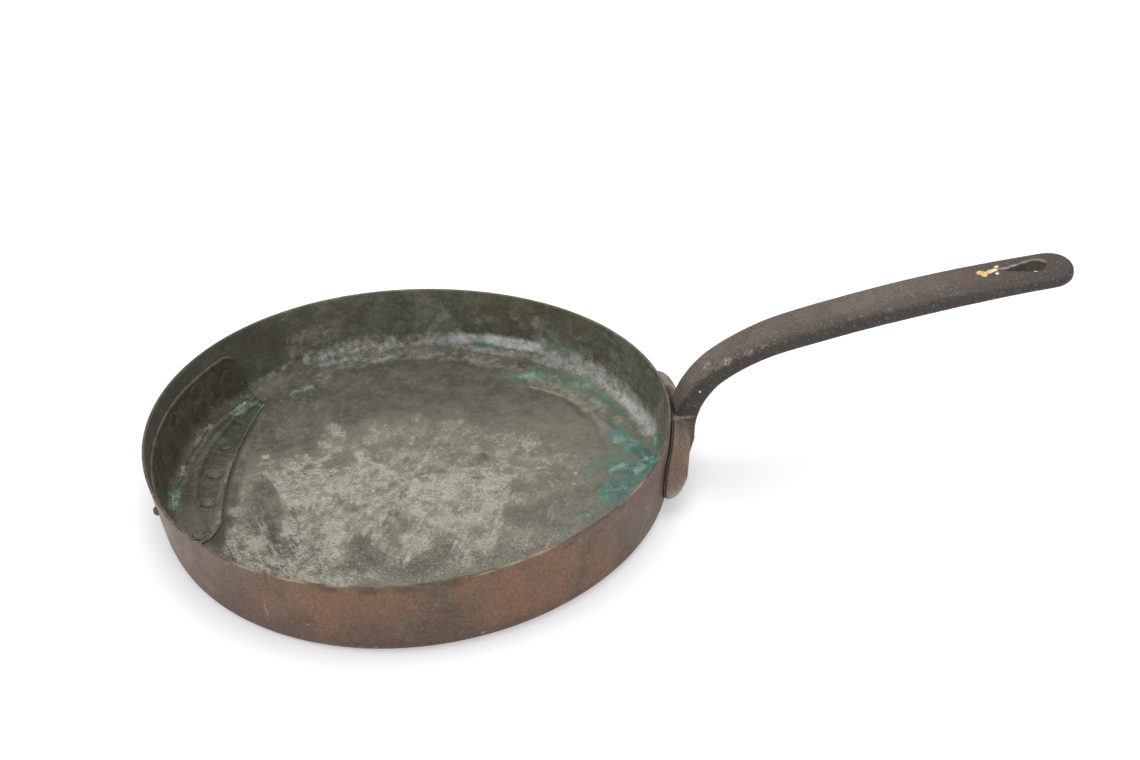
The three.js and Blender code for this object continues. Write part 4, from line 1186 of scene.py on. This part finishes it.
def castIron():
    f = Finish("castIron", ironColours)
    broad = f.noise(26, 3, 0.55)
    cloudy = f.noise(8, 5, 0.65)
    fine = f.noise(1.5, 4, 0.72)
    grain = f.noise(0.7, 3, 0.65)
    # Painted light and shade: faces that look up get the lit top colour, the others the shaded side colour;
    # the long edges of the arm are shaded too, and the grip grows darker towards its end
    f.colour = f.blend(f.step(f.upward, -0.05, 0.75), "side", "top")
    f.cover("side", f.step(broad, 0.42, 0.62, 0.0, 0.35))
    shadedNearEdge = f.along(f.plus(f.y, f.times(f.minus(cloudy, 0.5), 9 * mm)), -3, -12)
    shadedFarEdge = f.along(f.y, 9, 13, 0.0, 0.6)
    f.cover("side", f.most(shadedNearEdge, shadedFarEdge), f.along(f.x, 150, 190, 0.2, 0.75))
    f.cover("side", f.along(f.x, 236, 330, 0.0, 0.9))
    f.cover("violet", f.step(cloudy, 0.5, 0.7, 0.0, 0.35))
    f.cover("pale", f.step(fine, 0.55, 0.7, 0.0, 0.35))
    f.cover("deep", f.step(fine, 0.44, 0.3, 0.0, 0.6))
    # The flange is browner and paler along its lower edge
    flange = f.times(f.along(f.x, 150, 143), f.along(f.z, 38, 31))
    f.cover("tan", flange, 0.75)
    reddish = f.times(flange, f.step(f.noise(5, 4, 0.6, place=f.stretched((1, 1, 0.5))), 0.5, 0.64))
    f.cover("rust", reddish, 0.3)
    lowEdge = f.times(flange, f.along(f.plus(f.z, f.times(cloudy, 6 * mm)), 22, 13))
    f.cover("pale", lowEdge, 0.8)
    # Where the flange meets the wall: a painted shadow in the crevice, and beside it a painted highlight
    # line
    offWall = f.attribute("offWall")
    crevice = f.times(f.step(offWall, 0.9, 1.1), f.step(offWall, 2.0, 1.5))
    f.cover("crevice", crevice, 0.9)
    f.cover("pale", f.step(offWall, 1.0, 0.8), flange, 0.6)
    seam = f.times(f.along(f.z, 35.8, 36.6), f.along(f.z, 38.2, 37.4), f.along(f.x, 150, 146))
    f.cover("pale", seam, f.step(fine, 0.3, 0.55, 0.2, 0.6))
    # Chips along the near edge
    edge = f.times(f.step(f.upward, 0.15, 0.45), f.step(f.upward, 0.97, 0.8))
    bend = f.times(f.along(f.x, 140, 148), f.along(f.x, 205, 170))
    chips = f.times(edge, bend, f.step(fine, 0.5, 0.62))
    f.cover("pale", chips, f.along(f.y, -2, -6, 0.05, 0.3))
    f.cover("pale", f.marked(ironChips, fine, 2.4), f.step(fine, 0.42, 0.56, 0.1, 0.8))
    f.cover("rust", f.marked(redMarks, cloudy, 6), 0.22)
    # Rust and dirt in the eye, rust before it, and a worn edge on its far side
    eyePlace = (320.7, 1.5, 106.7)
    slot = f.near((311, 1.5, 105.2), 2.5, 6.5, (0.6, 1.6, 1))
    inner = f.times(f.most(f.near(eyePlace, 4.6, 6.4), slot), f.step(f.upward, 0.8, 0.4))
    f.cover("olive", inner, 0.7)
    f.cover("rust", f.near((326.2, 1.5, 106.7), 1.5, 5), inner, 0.8)
    f.cover("rust", f.near((285, 8, 104), 8, 30), f.step(cloudy, 0.52, 0.66), 0.35)
    farSide = f.along(f.plus(f.y, f.times(f.x, 0.2)), 68, 70)
    edgeOfEye = f.times(f.near(eyePlace, 6.3, 6.9, (1, 1, 0.3)), farSide, f.step(f.upward, 0.2, 0.5))
    f.cover("pale", edgeOfEye, f.step(fine, 0.35, 0.55, 0.2, 0.55))
    # Small bright flecks on the top, before the eye and beside it
    onTop = f.step(f.upward, 0.6, 0.8)
    f.cover("pale", f.marked(wornSpots, fine, 0.5, (0.25, 1, 0)), onTop, 0.85)
    gilt = f.blend(f.step(cloudy, 0.4, 0.6), "gold", "cream")
    f.cover(gilt, f.marked(goldFlecks, fine, 1.8, (1, 1, 0)), onTop)
    f.cover("cream", f.near((151.1, -9.6, 52.8), 0.5, 0.95))
    f.tinted(4.0, 0.5)
    f.grained(grain, 128, 206, 0.9)
    relief = f.plus(f.times(grain, 0.5), fine)
    return f.finished(0.25, f.step(cloudy, 0.35, 0.65, 0.5, 0.64), relief, 0.3, 0.7)


handlePiece = castHandle()
handlePiece.data.materials.clear()
handlePiece.data.materials.append(castIron())
handOver(handlePiece, "cast_iron", "handle")
print("handle is made", len(handlePiece.data.polygons))


# The patch

patchSizes = {
    "lift": 0.05, "thickness": 1.15, "from": math.radians(136.5), "to": math.radians(206),
    "wallHeight": 31.0, "edgeDistance": 96.8, "edgeRadius": 265.0, "edgeAngle": math.radians(177),
    "edgeRounding": 1.1, "edgeThinness": 0.25, "wallCorner": 13.0, "tipCorner": 3.0, "floorCorner": 22.0,
    "wallRivets": 6, "wallRivetHeight": 24.5, "firstRivetDrop": 5.0, "endRivetInset": math.radians(5.2),
    "floorRivets": 5, "floorRivetInset": 8.0, "floorRivetSpacing": 25.65, "floorRivetShift": -6.75,
    "lastRivetShift": 4.0,
    # the metal is drawn in round each rivet, has a low bead along its edge and is creased along the cove
    "dimple": 0.25, "dimpleRadius": 4.6, "dimpleWidth": 1.4, "beadHeight": 0.14, "beadWidth": 1.5,
    "creaseDepth": 0.55, "creaseTurn": 0.62, "creaseWidth": 0.8, "creaseWander": [(1.1, 9), (0.5, 23)],
    "creaseEnds": 14, "ridgeHeight": 0.35, "ridgeShift": 1.9, "ridgeWidth": 1.1,
    "columns": 200, "rows": 130, "tightEnds": 0.9,
}
patchMiddle = (patchSizes["from"] + patchSizes["to"]) / 2
patchEdgeCentre = patchSizes["edgeDistance"] - patchSizes["edgeRadius"]


def lengthAtHeight(height):
    # Distance down the inside from the rim, on the wall and on the floor
    return (panSizes["height"] - height) / math.cos(wallSlope)


def lengthAtRadius(angle, radius):
    start = wallLength + coveLength
    inset = wallRadius(angle, panSizes["floorThickness"]) - wallInset - radius
    return start + inset - insideSpot(start)[0]


def patchEdgeAt(angle):
    # How far from the pan's middle the patch's floor edge runs, which is an arc
    across = patchEdgeCentre * np.cos(angle - patchSizes["edgeAngle"])
    return across + np.sqrt(across ** 2 - patchEdgeCentre ** 2 + patchSizes["edgeRadius"] ** 2)


def cornerCut(angle, fromCorner, toCorner):
    # How far a rounded corner takes the edge back near both ends of the patch
    fromStart, toEnd = angle - patchSizes["from"], patchSizes["to"] - angle
    corner = np.where(angle < patchMiddle, fromCorner, toCorner)
    left = clampShare(1 - np.minimum(fromStart, toEnd) * panSizes["rimRadius"] / corner)
    return corner * (1 - np.sqrt(np.maximum(0, 1 - left * left)))


def wallRivetPlaces():
    # Angle and distance down from the rim of each rivet
    s = patchSizes
    spots = []
    for index in range(s["wallRivets"]):
        span = s["to"] - s["from"] - 2 * s["endRivetInset"]
        angle = s["from"] + s["endRivetInset"] + span * index / (s["wallRivets"] - 1)
        height = s["wallRivetHeight"] - (s["firstRivetDrop"] if index == 0 else 0)
        spots.append((angle, lengthAtHeight(height)))
    return spots


def floorRivetPlaces():
    s = patchSizes
    spots = []
    arc = s["edgeRadius"] + s["floorRivetInset"]
    for index in range(s["floorRivets"]):
        swing = ((index - (s["floorRivets"] - 1) / 2) * s["floorRivetSpacing"] + s["floorRivetShift"]) / arc
        out, side = patchEdgeCentre + arc * math.cos(swing), arc * math.sin(swing)
        angle = s["edgeAngle"] + math.atan2(side, out)
        radius = math.hypot(out, side) + (s["lastRivetShift"] if index == s["floorRivets"] - 1 else 0)
        spots.append((angle, float(lengthAtRadius(angle, radius))))
    return spots


rivetSeats = []
for angle, length in wallRivetPlaces() + floorRivetPlaces():
    rivetSeats.append(overInside(np.array(angle), np.array(length), 0.0))


def edgeSpread(count):
    # Shares from 0 to 1 that lie close together near both ends
    share = np.linspace(0, 1, count)
    return share - patchSizes["tightEnds"] * np.sin(2 * math.pi * share) / (2 * math.pi)


def patchOutline():
    # The patch's grid, as angles and distances down from the rim, and how far each point is from the edge
    s = patchSizes
    angles = (s["from"] + (s["to"] - s["from"]) * edgeSpread(s["columns"]))[:, None]
    top = lengthAtHeight(s["wallHeight"]) + cornerCut(angles, s["wallCorner"], s["wallCorner"])
    bottom = lengthAtRadius(angles, patchEdgeAt(angles))
    bottom = bottom - cornerCut(angles, s["tipCorner"], s["floorCorner"])
    lengths = top + (bottom - top) * edgeSpread(s["rows"])[None, :]
    angles = np.broadcast_to(angles, lengths.shape)
    across = angles * panSizes["rimRadius"]
    upper = np.stack([across[:, 0], top[:, 0]], -1)
    lower = np.stack([across[::-1, 0], bottom[::-1, 0]], -1)
    outline = [tuple(spot) for spot in np.concatenate([upper, lower, upper[:1]])]
    spots = np.stack([across, lengths], -1).reshape(-1, 2)
    return angles, lengths, pathDistance(spots, outline).reshape(lengths.shape)


def patchRelief(angles, lengths, fromEdge):
    # How thick the patch is at each point, and how much of the crease is there
    s = patchSizes
    across = angles * panSizes["rimRadius"]
    ends = between(np.minimum(across - across[0, 0], across[-1, 0] - across), 0, s["creaseEnds"])
    inward = clampShare(fromEdge / s["edgeRounding"])
    thin = s["edgeThinness"]
    thickness = s["thickness"] * (thin + (1 - thin) * np.sqrt(1 - (1 - inward) ** 2))
    thickness = thickness + s["beadHeight"] * inward * bell(fromEdge - s["edgeRounding"], s["beadWidth"])
    wander = sum(reach * np.sin(waves * angles) for reach, waves in s["creaseWander"])
    fromCrease = lengths - (wallLength + coveLength * s["creaseTurn"] + wander)
    crease = bell(fromCrease, s["creaseWidth"]) * ends
    ridge = s["ridgeHeight"] * bell(fromCrease - s["ridgeShift"], s["ridgeWidth"]) * ends
    return thickness - s["creaseDepth"] * crease + ridge, crease


def patchMesh():
    s = patchSizes
    angles, lengths, fromEdge = patchOutline()
    thickness, crease = patchRelief(angles, lengths, fromEdge)
    under = overInside(angles, lengths, s["lift"])
    over = overInside(angles, lengths, s["lift"] + thickness)
    for seat in rivetSeats:
        away = np.linalg.norm(over - seat, axis=-1)
        onFloor = between(over[..., 2], 6, 3)
        over[..., 2] -= s["dimple"] * bell(away - s["dimpleRadius"], s["dimpleWidth"]) * onFloor
    columns, rows = lengths.shape
    points = np.concatenate([under, over[:, ::-1]], axis=1).reshape(-1, 3)
    size = rows * 2
    faces = ringFaces(columns, size)
    last = (columns - 1) * size
    for row in range(rows - 1):
        partner = size - 1 - row
        faces.append((row, partner, partner - 1, row + 1))
        faces.append((last + row, last + row + 1, last + partner - 1, last + partner))
    mesh = meshFrom("repairPatch", points * mm, faces)
    outwardFaces(mesh)
    for name, values in (("edge", fromEdge), ("crease", crease)):
        addValues(mesh, name, np.concatenate([values, values[:, ::-1]], axis=1))
    addZones(mesh, points, patchZones)
    return mesh


# Paths here are x, y and height
patchZones = {
    "teal": [
        ([(-122, -4, 6), (-122, -17, 6)], 1.6, 3, 0.95),
        ([(-99, 62, 6), (-97, 69, 5), (-95, 76, 4)], 1.6, 3, 0.8),
        ([(-96, 77, 3), (-89, 77, 2.6), (-84, 75, 2.6)], 1.2, 2.5, 0.62),
        ([(-98, 63, 2.6), (-93, 60, 2.6)], 1.5, 3, 0.55), ([(-114, 46, 12)], 1.5, 3, 0.6),
        ([(-120, 18, 5), (-122, 4, 6)], 1.2, 3, 0.6), ([(-117, 40, 6), (-112, 52, 6)], 1, 3, 0.45),
    ],
    "dim": [
        ([(-103, 45, 2.6), (-98, 52, 2.6)], 3, 6, 0.8), ([(-104, 58, 6), (-114, 40, 8)], 2, 6, 0.5),
        ([(-90, 68, 2.6)], 4, 6, 0.6),
    ],
    # Painted highlights along the crease's ridge and along the floor edge
    "light": [
        ([(-121, 13, 4), (-121, 19, 4)], 0.6, 2.4, 0.72), ([(-117, 40, 4), (-116, 45, 4)], 0.6, 2.4, 0.72),
        ([(-114, 52, 4), (-111, 55, 4)], 0.6, 2.4, 0.66), ([(-96, 76, 3.5), (-92, 77, 3.5)], 0.6, 2.4, 0.6),
        ([(-83, 75, 3)], 0.5, 2.2, 0.6), ([(-97, 22, 3), (-98, 4, 3)], 0.3, 1.4, 0.7),
        ([(-98, -22, 3), (-98, -32, 3)], 0.3, 1.4, 0.7), ([(-122, -14, 4), (-123, -8, 4)], 0.6, 2.2, 0.55),
    ],
}
patchColours = {
    "base": paint(84, 81, 71), "dark": paint(64, 61, 52), "worn": paint(104, 100, 88),
    "edge": paint(116, 104, 88), "pink": paint(120, 109, 97), "light": paint(150, 140, 122),
    "dim": paint(72, 88, 70), "green": paint(84, 116, 96), "teal": paint(106, 148, 130),
}


def patchTin():
    f = Finish("patchTin", patchColours)
    cloudy = f.noise(14, 5, 0.62)
    patchy = f.noise(6, 5, 0.65)
    fine = f.noise(1.8, 4, 0.7)
    f.colour = f.blend(f.step(cloudy, 0.36, 0.62), "dark", "base")
    f.cover("worn", f.step(patchy, 0.5, 0.66, 0.0, 0.5))
    mottle = f.noise(3.0, 6, 0.72)
    f.cover("dark", f.step(mottle, 0.5, 0.38, 0.0, 0.6))
    f.cover("worn", f.step(mottle, 0.54, 0.66), f.along(f.z, 8, 4, 0.2, 0.6))
    # Painted shade: the patch grows darker towards the rim
    f.cover("dark", f.along(f.z, 21, 31, 0.0, 0.55))
    f.cover("worn", f.near((-106, -30, 3), 6, 24, wobble=patchy, wobbleSize=6), 0.45)
    # On the wall the edge is a thin brownish line; on the floor a pale band of painted highlight lies behind
    # the painted shadow line beside the edge
    edge = f.attribute("edge")
    f.cover("edge", f.step(edge, 1.1, 0.4), f.step(patchy, 0.35, 0.6, 0.05, 0.45))
    low = f.times(f.along(f.z, 6, 4), f.along(f.x, -115, -108))
    band = f.times(f.step(edge, 4.6, 3.2), f.step(edge, 0.8, 1.8))
    f.cover("pink", band, low, f.along(f.y, 30, 16, 0.05, 0.6))
    # Painted shade in the crease
    f.cover("dark", f.step(f.attribute("crease"), 0.25, 0.9), 0.8)
    greensAndHighlights = {name: f.attribute(name) for name in patchZones}
    f.cover("dim", f.torn(greensAndHighlights["dim"], patchy, 3, 0.2, 1.0), 0.55)
    crust = f.times(f.torn(greensAndHighlights["teal"], f.level(0.5, fine, patchy), 3.0, 0.2, 1.1), 0.75)
    f.cover(f.blend(f.step(fine, 0.4, 0.6), "green", "teal"), crust)
    # Painted highlights along the crease and the floor edge
    f.cover("light", f.torn(greensAndHighlights["light"], fine, 3, 0.3, 0.9), 0.7)
    f.tinted(3.0, 0.6)
    f.grained(f.noise(0.8, 3, 0.6), 144, 222, 0.9)
    return f.finished(0.35, f.step(patchy, 0.35, 0.65, 0.42, 0.56), fine, 0.14, 0.6)


patchPiece = newObject("repairPatch", patchMesh())
patchPiece.data.materials.append(patchTin())
handOver(patchPiece, "old_tin", "repair_patch")
print("patch is made", len(patchPiece.data.polygons))


# The rivets

rivetSizes = {
    # profiles, as pairs of radius and height from the middle out
    "handleHead": [(0, 0.3), (3.6, 0.28), (4.7, 0.1), (5.1, -0.3), (3.0, -0.6)],
    "handleTail": [(0, 0.0), (2.4, -0.04), (3.3, -0.2), (3.7, -0.5), (3.7, -1.2)],
    "patchHead": [(0, 0.3), (1.4, 0.31), (2.4, 0.34), (2.8, 0.3), (3.0, 0.16), (3.2, 0.17), (3.45, 0.34),
                  (3.85, 0.3), (4.15, 0.1), (4.2, -0.5)],
    "wallTail": [(0, 2.0), (0.9, 1.92), (1.7, 1.6), (2.3, 1.0), (2.6, 0.4), (2.7, -0.3)],
    "turnSteps": 48, "wearDepth": 0.06, "wearSize": 420.0,
    # the rivets differ a little in width, and one domed end and one head, given by index, lie flatter
    "wallShrink": 0.04, "floorShrink": 0.03, "wallHeadHeight": 0.9,
    "flatWallTail": (4, 0.45), "flatFloorHead": (0, 0.55),
}


def turnedShape(name):
    # A closed dome turned round Z from its profile, flat underneath
    profile, steps = rivetSizes[name], rivetSizes["turnSteps"]
    points, faces = [(0, 0, profile[0][1])], []
    for radius, height in profile[1:]:
        for step in range(steps):
            turn = 2 * math.pi * step / steps
            points.append((radius * math.cos(turn), radius * math.sin(turn), height))
    points.append((0, 0, profile[-1][1]))
    rings = len(profile) - 1
    for step in range(steps):
        after = (step + 1) % steps
        faces.append((0, 1 + step, 1 + after))
        for ring in range(rings - 1):
            a, b = 1 + ring * steps + step, 1 + ring * steps + after
            faces.append((a, a + steps, b + steps, b))
        last = 1 + (rings - 1) * steps
        faces.append((last + after, last + step, len(points) - 1))
    mesh = meshFrom(name, np.array(points) * mm, faces)
    outwardFaces(mesh)
    addValues(mesh, "reach", np.hypot(*np.array(points).T[:2]) / max(radius for radius, _ in profile))
    return newObject(name, mesh)


def rivetTree():
    # Puts one rivet shape on each point, turned to the point's aim, and wears it a little
    tree = bpy.data.node_groups.new("rivetSetter", "GeometryNodeTree")
    inputs = {"Seats": "Geometry", "Rivet Shape": "Object", "Wear Depth": "Float", "Wear Size": "Float",
              "Metal": "Material"}
    for name, kind in inputs.items():
        tree.interface.new_socket(name, in_out="INPUT", socket_type="NodeSocket" + kind)
    tree.interface.new_socket("Rivets", in_out="OUTPUT", socket_type="NodeSocketGeometry")

    def made(kind, inputs=(), output=0, **settings):
        return addNode(tree, kind, inputs, output, **settings)

    def stored(name):
        return made("GeometryNodeInputNamedAttribute", {"Name": name}, "Attribute", data_type="FLOAT_VECTOR")

    given = made("NodeGroupInput", output=None)
    shape = made("GeometryNodeObjectInfo", {"Object": given["Rivet Shape"]}, "Geometry")
    turn = made("FunctionNodeAlignRotationToVector", {"Vector": stored("aim")}, "Rotation", axis="Z")
    seats = {"Points": given["Seats"], "Instance": shape, "Rotation": turn, "Scale": stored("growth")}
    placed = made("GeometryNodeInstanceOnPoints", seats, "Instances")
    real = made("GeometryNodeRealizeInstances", {"Geometry": placed}, "Geometry")
    pattern = made("ShaderNodeTexNoise", {"Scale": given["Wear Size"], "Detail": 2}, "Fac")
    centred = made("ShaderNodeMath", {0: pattern, 1: 0.5}, operation="SUBTRACT")
    depth = made("ShaderNodeMath", {0: centred, 1: given["Wear Depth"]}, operation="MULTIPLY")
    normal = made("GeometryNodeInputNormal", output="Normal")
    push = made("ShaderNodeVectorMath", {0: normal, "Scale": depth}, operation="SCALE")
    worn = made("GeometryNodeSetPosition", {"Geometry": real, "Offset": push}, "Geometry")
    coated = made("GeometryNodeSetMaterial", {"Geometry": worn, "Material": given["Metal"]}, "Geometry")
    made("NodeGroupOutput", {"Rivets": coated})
    return tree


def setRivets(name, seats, shape, metal, tree):
    # seats is a list of place, aim and size; the places are in millimetres
    mesh = bpy.data.meshes.new(name)
    mesh.from_pydata([tuple(np.array(seat[0]) * mm) for seat in seats], [], [])
    aim = mesh.attributes.new("aim", "FLOAT_VECTOR", "POINT")
    growth = mesh.attributes.new("growth", "FLOAT_VECTOR", "POINT")
    for index, (_, direction, size) in enumerate(seats):
        aim.data[index].vector = direction
        growth.data[index].vector = size
    piece = newObject(name, mesh)
    modifier = piece.modifiers.new("rivetSetter", "NODES")
    modifier.node_group = tree
    inputs = {item.name: item.identifier for item in tree.interface.items_tree if item.in_out == "INPUT"}
    modifier[inputs["Rivet Shape"]] = shape
    modifier[inputs["Wear Depth"]] = rivetSizes["wearDepth"] * mm
    modifier[inputs["Wear Size"]] = rivetSizes["wearSize"]
    modifier[inputs["Metal"]] = metal
    withModifiers(piece)
    smoothFaces(piece.data)
    return piece


def wallNormal(angle, height):
    # The way out of the wall at a place on it, from the slopes half a millimetre to each side
    step = 0.5
    turn = step / panSizes["rimRadius"]
    around = onWall(angle + turn, height) - onWall(angle - turn, height)
    up = onWall(angle, height + step) - onWall(angle, height - step)
    return Vector(around).cross(Vector(up)).normalized()


def patchSeats():
    # Seats of the heads on the patch, and of the domed ends outside the wall
    top = patchSizes["lift"] + patchSizes["thickness"]
    r = rivetSizes
    heads, tails = [], []
    for index, (angle, length) in enumerate(wallRivetPlaces()):
        place = overInside(np.array(angle), np.array(length), top)
        outside = overInside(np.array(angle), np.array(length), -panSizes["wallThickness"])
        direction = wallNormal(angle, float(place[2]))
        width = 1 - r["wallShrink"] * (index % 3)
        tailHeight = r["flatWallTail"][1] if index == r["flatWallTail"][0] else 1
        heads.append((place, tuple(-direction), (width, width, r["wallHeadHeight"])))
        tails.append((outside, tuple(direction), (width, width, tailHeight)))
    for index, (angle, length) in enumerate(floorRivetPlaces()):
        place = overInside(np.array(angle), np.array(length), top)
        width = 1 - r["floorShrink"] * (index % 2)
        height = r["flatFloorHead"][1] if index == r["flatFloorHead"][0] else 1
        heads.append((place, (0, 0, 1), (width, width, height)))
    return heads, tails


def handleSeats():
    # Seats of the heads inside the wall, and of the closed ends on the flange
    s = handleSizes
    lobe, height = s["lobeCentre"], s["flangeMid"]
    heads, tails = [], []
    for along, height in ((-lobe, height), (0, s["middleRivetHeight"]), (lobe, height)):
        angle = along / panSizes["rimRadius"]
        level = flangeLevel(along, height)
        direction = wallNormal(angle, level)
        origin = Vector(onWall(angle, level))
        depth = s["seatGap"] + flangeThickness(along, height)
        if abs(along) < s["stemWidth"] / 2:
            depth = max(depth, rootCoverAt(height))
        heads.append((origin - direction * panSizes["wallThickness"], tuple(-direction), (1, 1, 1)))
        tails.append((origin + direction * depth, tuple(direction), (1, 1, 1)))
    return heads, tails


def rivetMetal(name, light, dark, wallShade=0.0, outline=0.95, crust=0.0):
    f = Finish(name)
    fine = f.noise(1.5, 4, 0.7)
    broad = f.noise(13, 3, 0.6)
    reach = f.attribute("reach")
    f.colour = f.blend(f.step(fine, 0.35, 0.62), dark, light)
    f.cover(dark, f.step(broad, 0.45, 0.62, 0.0, 0.55))
    # Painted shade in the head's groove and round its edge
    groove = f.times(f.step(reach, 0.64, 0.7), f.step(reach, 0.8, 0.74))
    shadowLines = f.most(groove, f.step(reach, 0.95, 0.995))
    f.cover(paint(36, 34, 27), shadowLines, outline)
    f.cover(paint(58, 55, 45), f.along(f.z, 8, 12), wallShade)
    # Painted highlight: a light ring on the head's shoulder
    ring = f.times(f.step(reach, 0.8, 0.86), f.step(reach, 0.96, 0.9))
    f.cover(light, ring, 0.35)
    # The far rivets in the floor lie under verdigris
    crusted = f.times(f.along(f.z, 8, 6), f.along(f.y, 18, 46, 0.0, crust))
    f.cover(f.blend(f.step(fine, 0.4, 0.6), paint(60, 66, 54), paint(76, 84, 70)), crusted)
    return f.finished(0.4, 0.48, fine, 0.08, 0.5)

setter = rivetTree()
shapes = {name: turnedShape(name) for name in ("handleHead", "handleTail", "patchHead", "wallTail")}
tinMetal = rivetMetal("rivetTin", paint(118, 115, 102), paint(80, 77, 66), wallShade=0.8, crust=0.9)
wallTin = rivetMetal("rivetWallTin", paint(122, 122, 108), paint(94, 93, 81), outline=0.35)
copperMetal = rivetMetal("rivetCopper", paint(128, 100, 84), paint(84, 70, 62))

headSeats, tailSeats = patchSeats()
patchRivets = setRivets("patchRivets", headSeats, shapes["patchHead"], tinMetal, setter)
patchTails = setRivets("patchRivetTails", tailSeats, shapes["wallTail"], copperMetal, setter)
wallNodes = [f"patch_wall_rivet_{n + 1}" for n in range(patchSizes["wallRivets"])]
floorNodes = [f"patch_floor_rivet_{n + 1}" for n in range(patchSizes["floorRivets"])]
handOver(patchRivets, "old_tin", *wallNodes, *floorNodes)
handOver(patchTails, "rivet_copper")

headSeats, tailSeats = handleSeats()
handleHeads = setRivets("handleRivetHeads", headSeats, shapes["handleHead"], wallTin, setter)
handleTails = setRivets("handleRivetTails", tailSeats, shapes["handleTail"], copperMetal, setter)
handOver(handleHeads, "old_tin", "handle_rivet_near", "handle_rivet_middle", "handle_rivet_far")
handOver(handleTails, "rivet_copper")
for shape in shapes.values():
    bpy.data.objects.remove(shape)
print("rivets are set")
